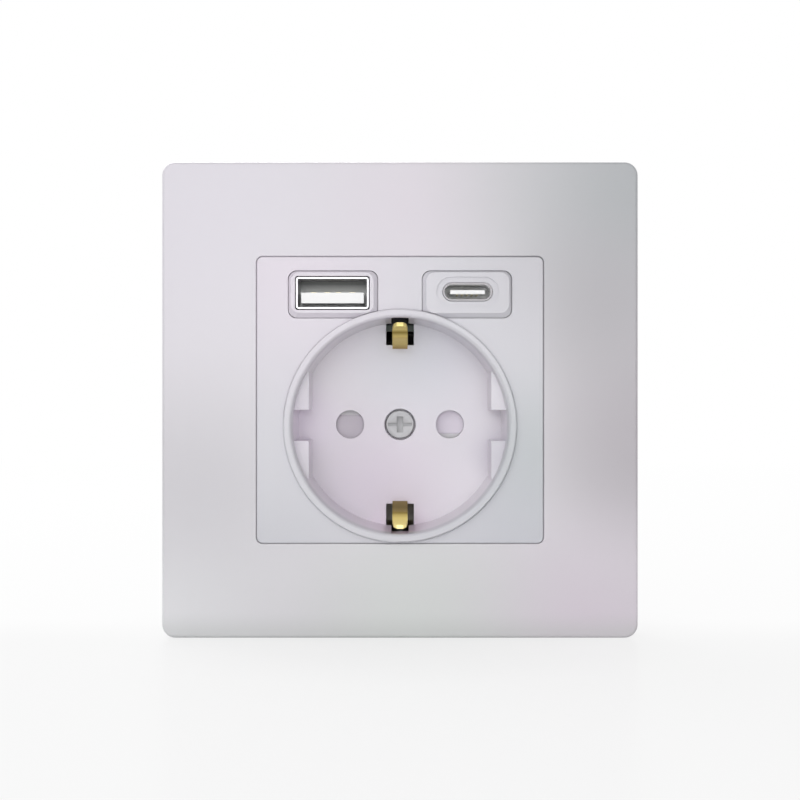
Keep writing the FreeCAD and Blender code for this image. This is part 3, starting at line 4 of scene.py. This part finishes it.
import bpy
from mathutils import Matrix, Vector


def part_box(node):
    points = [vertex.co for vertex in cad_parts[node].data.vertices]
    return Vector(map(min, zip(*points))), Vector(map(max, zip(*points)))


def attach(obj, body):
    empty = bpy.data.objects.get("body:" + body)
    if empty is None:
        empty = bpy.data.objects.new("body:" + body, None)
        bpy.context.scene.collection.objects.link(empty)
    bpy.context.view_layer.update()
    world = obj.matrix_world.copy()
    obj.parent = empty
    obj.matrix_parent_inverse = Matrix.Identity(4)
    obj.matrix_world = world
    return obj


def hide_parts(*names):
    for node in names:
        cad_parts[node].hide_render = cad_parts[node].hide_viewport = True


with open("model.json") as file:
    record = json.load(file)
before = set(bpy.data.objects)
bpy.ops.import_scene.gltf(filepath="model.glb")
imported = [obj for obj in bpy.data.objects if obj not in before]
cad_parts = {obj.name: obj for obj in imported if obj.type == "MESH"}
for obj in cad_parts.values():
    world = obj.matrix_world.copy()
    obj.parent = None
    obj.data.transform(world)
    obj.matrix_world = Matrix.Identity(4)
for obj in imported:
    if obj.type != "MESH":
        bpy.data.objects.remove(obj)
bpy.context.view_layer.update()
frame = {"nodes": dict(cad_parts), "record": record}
nodes = frame["nodes"]
mm = 0.001
sharpEdge = math.radians(28)
print("frame loaded:", len(nodes), "nodes")

# One pass over the CAD nodes: curved faces shade round, and edges sharper than this stay crisp.
bpy.ops.object.select_all(action="DESELECT")
for piece in nodes.values():
    piece.select_set(True)
    bpy.context.view_layer.objects.active = piece
bpy.ops.object.shade_smooth_by_angle(angle=sharpEdge)
bpy.ops.object.select_all(action="DESELECT")


def hexColour(text):
    parts = [int(text[spot:spot + 2], 16) / 255 for spot in (0, 2, 4)]
    linear = [p / 12.92 if p <= 0.04045 else ((p + 0.055) / 1.055) ** 2.4 for p in parts]
    return (*linear, 1.0)


def addNode(tree, kind, settings=None, links=None):
    node = tree.nodes.new(kind)
    for key, item in (settings or {}).items():
        if isinstance(key, int) or key in node.inputs:
            node.inputs[key].default_value = item
        else:
            setattr(node, key, item)
    for key, source in (links or {}).items():
        tree.links.new(source, node.inputs[key])
    return node


# A Mix node's colour sockets share their names with its number sockets, so they go by number.
firstColour, secondColour, mixedColour = 6, 7, 2


def startMaterial(name, colour, roughness, metallic=0.0):
    material = bpy.data.materials.new(name)
    material.use_nodes = True
    tree = material.node_tree
    tree.nodes.clear()
    output = addNode(tree, "ShaderNodeOutputMaterial")
    shader = addNode(tree, "ShaderNodeBsdfPrincipled", {
        "Base Color": hexColour(colour), "Roughness": roughness, "Metallic": metallic})
    tree.links.new(shader.outputs["BSDF"], output.inputs["Surface"])
    place = addNode(tree, "ShaderNodeTexCoord").outputs["Object"]
    return material, tree, shader, place


skin = {
    "detail": 3.0,
    "strength": 0.35,
    "deep": 0.006 * mm,  # how far the grains rise
    "mouldedDeep": 0.01 * mm,
}


# A moulded or rolled skin: noise whose grains lie this far apart.
def fineBump(tree, shader, place, spacing, deep=skin["deep"]):
    noise = addNode(tree, "ShaderNodeTexNoise", {
        "Scale": 1 / spacing, "Detail": skin["detail"]}, {"Vector": place})
    bump = addNode(tree, "ShaderNodeBump", {
        "Strength": skin["strength"], "Distance": deep}, {"Height": noise.outputs["Fac"]})
    tree.links.new(bump.outputs["Normal"], shader.inputs["Normal"])


# From one colour to another along an axis of the piece, between two places on it. Each
# colour is a hex value or another node's output.
def fadeAlong(tree, place, axis, span, colours, shape="LINEAR", strength=1.0):
    axes = addNode(tree, "ShaderNodeSeparateXYZ", None, {"Vector": place})
    share = addNode(tree, "ShaderNodeMapRange", {
        "interpolation_type": shape, "From Min": span[0], "From Max": span[1], "To Max": strength},
        {"Value": axes.outputs[axis]})
    mix = addNode(tree, "ShaderNodeMix", {"data_type": "RGBA"}, {"Factor": share.outputs["Result"]})
    for socket, colour in zip((firstColour, secondColour), colours):
        if isinstance(colour, str):
            mix.inputs[socket].default_value = hexColour(colour)
        else:
            tree.links.new(colour, mix.inputs[socket])
    return mix.outputs[mixedColour]


# Each stop is a share from 0 to 1 and its linear colour.
def setStops(ramp, stops):
    while len(ramp.elements) < len(stops):
        ramp.elements.new(1.0)
    for element, (share, colour) in zip(ramp.elements, stops):
        element.position = share
        element.color = colour


pearlSkin = {
    "roughness": 0.34,
    "coat": 0.15,
    "coatRoughness": 0.2,
    "grain": 0.35 * mm,
    "grainDeep": 0.004 * mm,
}
# Tints: partly the pearl pigment's own colour, partly painted light and shade, paler at the left and
# darker towards the right.
framePearlAndShade = {
    "name": "pearlAndShadeFramePlastic",
    "base": "D6D3D8",
    "tintsAndShade": [  # colour, middle across and up in mm, reach in mm, strength
        ("DAD6DE", -34, 34, 52, 0.95),
        ("D9D0DA", 2, 34, 24, 0.55),
        ("ABAEB1", 43, 38, 44, 0.95),
        ("B0ABB1", 43, -4, 30, 0.80),
        ("B4AFB5", 43, -10, 22, 0.70),
        ("DACDDA", 34, -40, 30, 0.60),
        ("D6DCD7", 2, -40, 30, 0.60),
        ("E4E5E7", -38, -38, 30, 0.60),
        ("C3C1C6", -36, -15, 28, 0.65),
        ("ABA8AD", 36, 17, 24, 0.70),
    ],
    "lowEdgePaintedShade": {  # painted shade: the rounded lower edge is painted greyer
        "span": (-38.0 * mm, -43.0 * mm),
        "colour": "BDC0BE",
        "strength": 0.50,
    },
}
# Tints: partly the pearl pigment's own colour, partly painted light and shade, paler at the upper left
# and darker towards the right and bottom.
platePearlAndShade = {
    "name": "pearlAndShadePlatePlastic",
    "base": "D0CFD5",
    "tintsAndShade": [
        ("DED6E0", -20, 24, 34, 0.90),
        ("C1BFC5", 30, 26, 26, 0.85),
        ("BBC0C3", 26, -10, 22, 0.85),
        ("C2C4CC", 22, -30, 26, 0.60),
        ("C5C6CC", -24, -30, 22, 0.60),
    ],
    "inner": {  # the recess, painted light and shade: paler than the face, darker at the right, with a pinker cast low down
        "span": (-8.2 * mm, -4 * mm),
        "base": "E8E4EA",
        "tintsAndShade": [
            ("DDD3E0", -4, -15, 20, 0.85),
            ("DDDFE7", 3, 8, 18, 0.85),
            ("EEE4F2", -18, -4, 10, 0.70),
            ("F6E6F8", 0, -26, 9, 0.80),
            ("CBC6D2", 18, -10, 7, 0.50),
            ("D0CED8", 12, -6, 12, 0.25),
        ],
    },
}


# The base colour with each tint spread round its middle, fading out at its reach. The tints carry
# colour and painted light and shade.
def tintAndShadeColour(tree, place, base, tintsAndShade):
    colour = None
    for tint, across, up, reach, strength in tintsAndShade:
        size = reach * mm
        centre = addNode(tree, "ShaderNodeMapping", {
            "vector_type": "POINT", "Location": (-across * mm / size, 0, -up * mm / size),
            "Scale": (1 / size, 0, 1 / size)}, {"Vector": place})
        glow = addNode(tree, "ShaderNodeTexGradient", {"gradient_type": "SPHERICAL"},
                       {"Vector": centre.outputs["Vector"]})
        amount = addNode(tree, "ShaderNodeMapRange", {
            "interpolation_type": "SMOOTHSTEP", "To Max": strength}, {"Value": glow.outputs["Fac"]})
        mix = addNode(tree, "ShaderNodeMix", {
            "data_type": "RGBA", firstColour: hexColour(base), secondColour: hexColour(tint)},
            {"Factor": amount.outputs["Result"]})
        if colour:
            tree.links.new(colour, mix.inputs[firstColour])
        colour = mix.outputs[mixedColour]
    return colour


# Thermoplastic moulded with pearl pigment. It gives broad faint lilac, grey and green
# tints that run into each other, under a soft satin shine; they are partly painted light and shade.
def pearlAndPaintedShadePlastic(pearl):
    material, tree, shader, place = startMaterial(pearl["name"], pearl["base"], pearlSkin["roughness"])
    colour = tintAndShadeColour(tree, place, pearl["base"], pearl["tintsAndShade"])
    if "inner" in pearl:
        inner = pearl["inner"]
        # painted light and shade for the recess
        recess = tintAndShadeColour(tree, place, inner["base"], inner["tintsAndShade"])
        colour = fadeAlong(tree, place, "Y", inner["span"], (colour, recess), "SMOOTHSTEP")
    if "lowEdgePaintedShade" in pearl:
        low = pearl["lowEdgePaintedShade"]
        colour = fadeAlong(
            tree, place, "Z", low["span"], (colour, low["colour"]), "SMOOTHSTEP", low["strength"])
    tree.links.new(colour, shader.inputs["Base Color"])
    shader.inputs["Coat Weight"].default_value = pearlSkin["coat"]
    shader.inputs["Coat Roughness"].default_value = pearlSkin["coatRoughness"]
    fineBump(tree, shader, place, pearlSkin["grain"], pearlSkin["grainDeep"])
    return material


plasticCloud = {
    "wide": 11.11 * mm,
    "detail": 4.0,
}


# Plain plastic, moulded, dipped or poured: one even colour, very slightly clouded, with a
# skin as matt or as shiny as its roughness says.
def mouldedPlastic(name, colour, darker, roughness, grain):
    material, tree, shader, place = startMaterial(name, colour, roughness)
    cloud = addNode(tree, "ShaderNodeTexNoise", {
        "Scale": 1 / plasticCloud["wide"], "Detail": plasticCloud["detail"]}, {"Vector": place})
    mix = addNode(tree, "ShaderNodeMix", {
        "data_type": "RGBA", firstColour: hexColour(colour), secondColour: hexColour(darker)},
        {"Factor": cloud.outputs["Fac"]})
    tree.links.new(mix.outputs[mixedColour], shader.inputs["Base Color"])
    fineBump(tree, shader, place, grain, skin["mouldedDeep"])
    return material


shutterFace = {
    "name": "whiteShutterPlastic",
    # painted shade on the left flat, painted light on the right flat, painted highlight on the ramps
    "leftFlatShaded": "CFC8D1",
    "rightFlatLit": "E4DDE8",
    "ramp": "FBFAFC",
    "middle": (-1 * mm, 1 * mm),
    "rampDeep": (9.81 * mm, 9.95 * mm),  # just behind the flat face
    "roughness": 0.42,
    "grain": 0.4 * mm,
}


# Unfilled polyamide: satin grey-white where it lies flat behind the pin holes, the left flat painted
# shade and the right flat painted light, with painted highlights on the ramps, which fall back from
# that face and take the pins.
def shutterPlastic():
    material, tree, shader, place = startMaterial(
        shutterFace["name"], shutterFace["rightFlatLit"], shutterFace["roughness"])
    flats = fadeAlong(tree, place, "X", shutterFace["middle"],
                      (shutterFace["leftFlatShaded"], shutterFace["rightFlatLit"]))
    colour = fadeAlong(tree, place, "Y", shutterFace["rampDeep"], (flats, shutterFace["ramp"]))
    tree.links.new(colour, shader.inputs["Base Color"])
    fineBump(tree, shader, place, shutterFace["grain"])
    return material


portInside = {
    "tongue": "F8F8F8",
    "deep": (-9.0 * mm, -4.5 * mm),  # from the tongue's front to the port's base
    "roughness": 0.38,
    "grain": 0.3 * mm,
}
wideInside = {
    "name": "whiteInsulatorWidePort",
    "up": (21.4 * mm, 19.8 * mm),  # from the shell's roof down to the tongue's top
    # painted shade: dark under the roof, pale just above the tongue
    "paintedShades": ("5C5E5D", "E6E8E7"),
}
ovalInside = {
    "name": "whiteInsulatorOvalPort",
    "up": (20.4 * mm, 18.8 * mm),
    "paintedShades": ("E9EAEA", "FCFCFC"),
}


# Glass-filled liquid crystal polymer: a clean white tongue, with painted shade that greys it towards
# the port's base, most of all under the roof, where the light hardly reaches.
def portInsulator(port):
    material, tree, shader, place = startMaterial(
        port["name"], portInside["tongue"], portInside["roughness"])
    base = fadeAlong(tree, place, "Z", port["up"], port["paintedShades"])
    colour = fadeAlong(tree, place, "Y", portInside["deep"], (portInside["tongue"], base))
    tree.links.new(colour, shader.inputs["Base Color"])
    fineBump(tree, shader, place, portInside["grain"])
    return material


plating = {
    "lineDetail": 2.0,
    "cloudWide": 4.545 * mm,
    "cloudDetail": 5.0,
    "smoothest": 0.7,  # shares of the metal's own roughness
    "roughest": 1.4,
    "strength": 0.3,
    "deep": 0.01 * mm,
}


# Plated or bare sheet and wire: a faintly cloudy metal. The stretch packs the grains closer
# along one axis, so that they draw out into fine rolling lines across it.
def platedMetal(name, colour, darker, roughness, stretch, spacing):
    material, tree, shader, place = startMaterial(name, colour, roughness, 1.0)
    lines = addNode(tree, "ShaderNodeMapping", {"Scale": stretch}, {"Vector": place})
    grain = addNode(tree, "ShaderNodeTexNoise", {
        "Scale": 1 / spacing, "Detail": plating["lineDetail"]}, {"Vector": lines.outputs["Vector"]})
    cloud = addNode(tree, "ShaderNodeTexNoise", {
        "Scale": 1 / plating["cloudWide"], "Detail": plating["cloudDetail"]}, {"Vector": place})
    mix = addNode(tree, "ShaderNodeMix", {
        "data_type": "RGBA", firstColour: hexColour(colour), secondColour: hexColour(darker)},
        {"Factor": cloud.outputs["Fac"]})
    tree.links.new(mix.outputs[mixedColour], shader.inputs["Base Color"])
    rough = addNode(tree, "ShaderNodeMapRange", {
        "To Min": roughness * plating["smoothest"], "To Max": roughness * plating["roughest"]},
        {"Value": grain.outputs["Fac"]})
    tree.links.new(rough.outputs["Result"], shader.inputs["Roughness"])
    bump = addNode(tree, "ShaderNodeBump", {
        "Strength": plating["strength"], "Distance": plating["deep"]}, {"Height": grain.outputs["Fac"]})
    tree.links.new(bump.outputs["Normal"], shader.inputs["Normal"])
    return material


ovalShell = {
    "name": "satinNickelShell",
    # painted shade on the lip, painted light on the inside
    "lip": "B6B3B7",
    "inside": "FCFCFD",
    "lipDeep": 0.12 * mm,
    "insideDeep": 0.30 * mm,
    "roughness": 0.5,
    "metallic": 0.10,
    "grain": 0.2 * mm,
}


# The oval port's shell: satin nickel, with painted shade greying the cut lip and painted light keeping
# the drawn inside pale, instead of mirroring the dark behind the tongue.
def satinShell():
    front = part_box("usb_c_shell")[0][1]
    material, tree, shader, place = startMaterial(
        ovalShell["name"], ovalShell["inside"], ovalShell["roughness"], ovalShell["metallic"])
    span = (front + ovalShell["lipDeep"], front + ovalShell["insideDeep"])
    colour = fadeAlong(tree, place, "Y", span, (ovalShell["lip"], ovalShell["inside"]))
    tree.links.new(colour, shader.inputs["Base Color"])
    fineBump(tree, shader, place, ovalShell["grain"])
    return material


clipBands = {
    "name": "wipedBrassClip",
    "brass": "DEC878",
    "reach": 20.0 * mm,
    "steps": [  # millimetres above the middle of the recess, colour: painted highlights and painted shade
        (-18.6, "F4E4A0"),
        (-16.9, "EAD68A"),
        (-16.0, "B8A25C"),
        (-15.2, "8A783C"),
        (-13.6, "A08C52"),
        (13.4, "AC8E60"),
        (14.3, "B2944C"),
        (15.0, "E0CC7C"),
        (16.3, "EEDC8E"),
        (17.0, "9C8846"),
        (17.5, "E2D088"),
        (18.6, "C8B87C"),
    ],
    "roughness": 0.44,
    "grain": 0.3 * mm,
}


# Earth clips: stamped brass, with painted light in bands along them: painted highlights on the tips
# and bends, painted shade towards the middle of the recess, and a painted dark shade line across
# the bend of the upper clip.
def paintedLightBrass():
    low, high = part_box("centre_screw")
    centreUp = (low[2] + high[2]) / 2
    reach = clipBands["reach"]
    material, tree, shader, place = startMaterial(
        clipBands["name"], clipBands["brass"], clipBands["roughness"], 1.0)
    axes = addNode(tree, "ShaderNodeSeparateXYZ", None, {"Vector": place})
    above = addNode(tree, "ShaderNodeMath", {"operation": "SUBTRACT", 1: centreUp},
                    {0: axes.outputs["Z"]})
    share = addNode(tree, "ShaderNodeMapRange", {
        "From Min": -reach, "From Max": reach}, {"Value": above.outputs["Value"]})
    bands = addNode(tree, "ShaderNodeValToRGB", None, {"Fac": share.outputs["Result"]})
    setStops(bands.color_ramp, [
        (0.5 + distance * mm / reach / 2, hexColour(colour))
        for distance, colour in clipBands["steps"]])
    tree.links.new(bands.outputs["Color"], shader.inputs["Base Color"])
    fineBump(tree, shader, place, clipBands["grain"])
    return material


# Name, colour, its darker cloud, roughness, and how far apart the skin's grains lie.
plastics = {
    # Moulded polyamide: matt light grey, the plain look of a box that stays in the wall.
    "housing_plastic": ("greyHousingPlastic", "C9C8C3", "BCBBB6", 0.55, 0.4 * mm),
    # Solder mask over glass fibre board: deep green with a soft shine.
    "circuit_board": ("greenSolderMask", "16402A", "103020", 0.32, 0.6 * mm),
    # Filled epoxy: black and nearly matt.
    "transformer_black": ("blackMouldedEpoxy", "26262A", "1D1D20", 0.5, 0.4 * mm),
    # Shrunk sleeve over a can: dark blue and shiny.
    "capacitor_sleeve": ("capacitorSleeve", "23283A", "1A1E2C", 0.25, 0.8 * mm),
}
# Name, colour, its darker cloud, roughness, stretch, and how far apart the grains lie.
metals = {
    # Passivated zinc on stamped steel: pale, cool and a little cloudy.
    "zinc_plated_steel": ("zincPlatedSheet", "C9CCCE", "B3B7BB", 0.38, (1, 1, 8), 0.5 * mm),
    # Nickel on drawn sheet: the wide port's bright frame.
    "port_steel": ("nickelPlatedShell", "CBCACD", "BAB9BD", 0.34, (1, 6, 1), 0.3 * mm),
    # Rolled and stamped brass: yellow, with faint lines.
    "contact_brass": ("stampedBrass", "DECB76", "C6B056", 0.36, (1, 5, 1), 0.35 * mm),
    # A flash of gold over nickel: a pale straw yellow.
    "gold_contact": ("flashGoldContact", "D6CDB0", "C4B992", 0.30, (1, 5, 1), 0.2 * mm),
    # Zinc on turned steel: a darker, duller grey than the sheet.
    "screw_zinc": ("zincPlatedScrew", "9A9C9E", "86898B", 0.42, (1, 1, 1), 0.25 * mm),
    # Drawn and oiled wire: dark grey and smooth.
    "spring_steel": ("drawnSpringWire", "9C9FA2", "85888C", 0.30, (1, 1, 1), 0.2 * mm),
}
finishes = {
    "frame_plastic": pearlAndPaintedShadePlastic(framePearlAndShade),
    "shutter_plastic": shutterPlastic(),
    "white_insulator": portInsulator(wideInside),
}
for slot, values in plastics.items():
    finishes[slot] = mouldedPlastic(*values)
for slot, values in metals.items():
    finishes[slot] = platedMetal(*values)
platePlastic = pearlAndPaintedShadePlastic(platePearlAndShade)
ownFinish = {
    "centre_plate": platePlastic,
    "usb_bezel": platePlastic,
    "usb_c_tongue": portInsulator(ovalInside),
    "usb_c_shell": satinShell(),
    "earth_bow": paintedLightBrass(),
}
slotOf = {entry["node"]: entry["material_slot"] for entry in frame["record"]["subparts"]}
for name, piece in nodes.items():
    for holder in piece.material_slots:
        holder.material = ownFinish.get(name, finishes[slotOf[name]])
print("materials given to", len(nodes), "nodes")

centreScrewFinish = {
    "name": "greyZincScrewHead",
    "head": "BDBDBF",
    # painted shade in the slot and cross
    "recess": "B5B5B7",
    "deep": (8.0 * mm, 8.9 * mm),  # from the head's front to the floor of its recess
    "roughness": 0.60,
    "metallic": 0.60,
    "grain": 0.25 * mm,
    "joinWithin": 0.002 * mm,
    "flatWithin": math.radians(2),
    "bevel": 0.07 * mm,
    "bevelSteps": 2,
    "bevelFrom": math.radians(50),
    "sharpEdge": math.radians(30),
}


# Worn zinc with a grey bloom, half metal and half dull to the eye, with painted shade darkening the
# recess.
def screwHeadZinc():
    finish = centreScrewFinish
    material, tree, shader, place = startMaterial(
        finish["name"], finish["head"], finish["roughness"], finish["metallic"])
    colour = fadeAlong(tree, place, "Y", finish["deep"], (finish["head"], finish["recess"]))
    tree.links.new(colour, shader.inputs["Base Color"])
    fineBump(tree, shader, place, finish["grain"])
    return material


# The screw in the middle of the recess is dressed over its CAD node: the same solid with
# its triangles joined up and its edges broken, so that slot and cross catch the light.
def dressCentreScrew():
    finish = centreScrewFinish
    source = nodes["centre_screw"]
    bpy.ops.object.select_all(action="DESELECT")
    source.select_set(True)
    bpy.context.view_layer.objects.active = source
    bpy.ops.object.duplicate(linked=False)
    screw = bpy.context.object
    screw.name = "centreScrewDressed"
    bpy.ops.object.mode_set(mode="EDIT")
    bpy.ops.mesh.select_all(action="SELECT")
    bpy.ops.mesh.remove_doubles(threshold=finish["joinWithin"])
    bpy.ops.mesh.dissolve_limited(angle_limit=finish["flatWithin"])
    bpy.ops.object.mode_set(mode="OBJECT")
    broken = screw.modifiers.new("brokenEdges", "BEVEL")
    broken.width = finish["bevel"]
    broken.segments = finish["bevelSteps"]
    broken.limit_method = "ANGLE"
    broken.angle_limit = finish["bevelFrom"]
    bpy.ops.object.modifier_apply(modifier="brokenEdges")
    bpy.ops.object.shade_smooth_by_angle(angle=finish["sharpEdge"])
    screw.data.materials.clear()
    screw.data.materials.append(screwHeadZinc())
    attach(screw, "root")
    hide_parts("centre_screw")


dressCentreScrew()
print("centre screw dressed")

clawThread = {
    "pitch": 0.6 * mm,
    "shankRadius": 1.5 * mm,
    "ridgeRadius": 0.22 * mm,
    "sink": 0.06 * mm,
    "underHead": 2.9 * mm,  # head, steel sheet and a short plain neck
    "tipClear": 1.7 * mm,  # room for the claw's ear, which tilts as the claw spreads
    "sides": 3,
    "steps": 24,
    "joinWithin": 0.001 * mm,
    "sharpEdge": math.radians(40),
}


# A rolled thread round a claw screw: one three-sided ridge, wound by a Screw modifier
# and closed at both ends, then laid along the screw.
def windThread(name, screwName):
    low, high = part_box(screwName)
    start, end = low[1] + clawThread["underHead"], high[1] - clawThread["tipClear"]
    turns = int((end - start) / clawThread["pitch"])
    bpy.ops.object.select_all(action="DESELECT")
    bpy.ops.mesh.primitive_circle_add(
        vertices=clawThread["sides"], radius=clawThread["ridgeRadius"], fill_type="NOTHING")
    ridge = bpy.context.object
    ridge.name = name
    ridge.rotation_euler = (math.pi / 2, 0, 0)
    bpy.ops.object.transform_apply(location=False, rotation=True, scale=True)
    ridge.location = (clawThread["shankRadius"] + clawThread["sink"], 0, 0)
    bpy.ops.object.transform_apply(location=True, rotation=False, scale=False)
    winding = ridge.modifiers.new("winding", "SCREW")
    winding.axis = "Z"
    winding.angle = 2 * math.pi
    winding.screw_offset = clawThread["pitch"]
    winding.iterations = turns
    winding.steps = winding.render_steps = clawThread["steps"]
    bpy.ops.object.modifier_apply(modifier="winding")
    bpy.ops.object.mode_set(mode="EDIT")
    bpy.ops.mesh.select_all(action="SELECT")
    bpy.ops.mesh.remove_doubles(threshold=clawThread["joinWithin"])
    bpy.ops.mesh.fill_holes(sides=clawThread["sides"])
    bpy.ops.mesh.select_all(action="SELECT")
    bpy.ops.mesh.normals_make_consistent(inside=False)
    bpy.ops.object.mode_set(mode="OBJECT")
    ridge.rotation_euler = (-math.pi / 2, 0, 0)
    ridge.location = ((low[0] + high[0]) / 2, start, (low[2] + high[2]) / 2)
    bpy.ops.object.transform_apply(location=True, rotation=True, scale=True)
    bpy.ops.object.shade_smooth_by_angle(angle=clawThread["sharpEdge"])
    ridge.data.materials.append(finishes["screw_zinc"])
    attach(ridge, screwName)


windThread("leftClawScrewThread", "left_claw_screw")
windThread("rightClawScrewThread", "right_claw_screw")
print("claw screw threads wound")


floorLook = {
    "name": "paleFloor",
    "up": -43.05 * mm,  # just under the frame
    "half": 3.0,
    "colour": "E2E2E2",
    "roughness": 0.22,
    # Metres from the middle, and the share of plain white that the eye sees there over the
    # floor's own shading. The shadow shows near the frame and the far floor is white.
    "whiteSteps": [(0.015, 0.74), (0.06, 0.86), (0.12, 0.88), (0.9, 1.0)],
    "whiteInFront": 0.955,  # the plain white before the frame, against 1 behind it: painted shade, a greyer floor before the frame
    "whiteSpan": (-18 * mm, 22 * mm),  # from before the frame to behind it
}
whiteLight = (1, 1, 1, 1)
worldStrength = 0.42  # of the backdrop, where it lights the pieces


# One for rays that show floor or backdrop to the eye: straight, mirrored or seen through.
def showsToEye(tree):
    rays = addNode(tree, "ShaderNodeLightPath")
    shown = rays.outputs["Is Camera Ray"]
    for kind in ("Is Glossy Ray", "Is Transmission Ray"):
        either = addNode(tree, "ShaderNodeMath", {"operation": "MAXIMUM"},
                         {0: shown, 1: rays.outputs[kind]})
        shown = either.outputs["Value"]
    return shown


# A satin white studio floor, which takes the frame's shadow and fades into the backdrop.
def buildFloor():
    bpy.ops.object.select_all(action="DESELECT")
    bpy.ops.mesh.primitive_plane_add(size=2 * floorLook["half"], location=(0, 0, floorLook["up"]))
    floor = bpy.context.object
    floor.name = "studioFloor"
    material, tree, shader, place = startMaterial(
        floorLook["name"], floorLook["colour"], floorLook["roughness"])
    reach = floorLook["whiteSteps"][-1][0]
    away = addNode(tree, "ShaderNodeVectorMath", {"operation": "LENGTH"}, {0: place})
    share = addNode(tree, "ShaderNodeMath", {"operation": "DIVIDE", 1: reach},
                    {0: away.outputs["Value"]})
    pale = addNode(tree, "ShaderNodeValToRGB", None, {"Fac": share.outputs["Value"]})
    setStops(pale.color_ramp, [
        (distance / reach, (white, white, white, 1.0))
        for distance, white in floorLook["whiteSteps"]])
    seen = addNode(tree, "ShaderNodeMath", {"operation": "MULTIPLY"}, {
        0: showsToEye(tree), 1: pale.outputs["Color"]})
    axes = addNode(tree, "ShaderNodeSeparateXYZ", None, {"Vector": place})
    level = addNode(tree, "ShaderNodeMapRange", {
        "interpolation_type": "SMOOTHSTEP",
        "From Min": floorLook["whiteSpan"][0], "From Max": floorLook["whiteSpan"][1],
        "To Min": floorLook["whiteInFront"], "To Max": 1.0}, {"Value": axes.outputs["Y"]})
    white = addNode(tree, "ShaderNodeEmission", {"Color": whiteLight},
                    {"Strength": level.outputs["Result"]})
    mix = addNode(tree, "ShaderNodeMixShader", None, {
        0: seen.outputs["Value"], 1: shader.outputs["BSDF"], 2: white.outputs["Emission"]})
    output = tree.get_output_node("ALL")
    tree.links.new(mix.outputs["Shader"], output.inputs["Surface"])
    floor.data.materials.append(material)


# A backdrop that the eye sees as white, and that lights the pieces more softly.
def buildBackdrop():
    world = bpy.data.worlds.new("studioWorld")
    bpy.context.scene.world = world
    world.use_nodes = True
    tree = world.node_tree
    tree.nodes.clear()
    level = addNode(tree, "ShaderNodeMapRange", {"To Min": worldStrength, "To Max": 1.0},
                    {"Value": showsToEye(tree)})
    background = addNode(tree, "ShaderNodeBackground", {"Color": whiteLight},
                         {"Strength": level.outputs["Result"]})
    output = addNode(tree, "ShaderNodeOutputWorld")
    tree.links.new(background.outputs["Background"], output.inputs["Surface"])


lamps = [  # name, place, what it points at, side of the square in metres, power in watts
    ("keyUpperLeft", (-0.42, -0.62, 0.50), (0, 0, 0), 0.40, 1.25),
    ("frontSoft", (-0.08, -0.85, 0.10), (0, 0, 0), 0.55, 1.78),
    ("fillRight", (0.60, -0.55, 0.05), (0, 0, 0), 0.5, 0.25),
    ("floorCard", (0, -0.26, -0.035), (0, 0, 0.02), 0.16, 0.142),
    ("backTop", (-0.26, 0.52, 0.60), (0, 0, 0), 0.6, 4.8),
]


def addLight(name, place, aim, side, power):
    bpy.ops.object.light_add(type="AREA", location=place)
    lamp = bpy.context.object
    lamp.name = name
    lamp.data.shape = "SQUARE"
    lamp.data.size = side
    lamp.data.energy = power
    lamp.rotation_euler = (Vector(aim) - Vector(place)).to_track_quat("-Z", "Y").to_euler()


cameraView = {
    "place": (0, -310.1 * mm, 0),
    "turn": (math.pi / 2, 0, 0),
    "lens": 75,
    "sensor": 36,
    "clipStart": 0.01,
}


def addCamera():
    bpy.ops.object.camera_add(location=cameraView["place"], rotation=cameraView["turn"])
    camera = bpy.context.object
    camera.data.lens = cameraView["lens"]
    camera.data.sensor_width = cameraView["sensor"]
    camera.data.clip_start = cameraView["clipStart"]
    bpy.context.scene.camera = camera


buildFloor()
buildBackdrop()
for lamp in lamps:
    addLight(*lamp)
addCamera()
bpy.context.scene.view_settings.view_transform = "Standard"
print("studio, lights and camera ready")
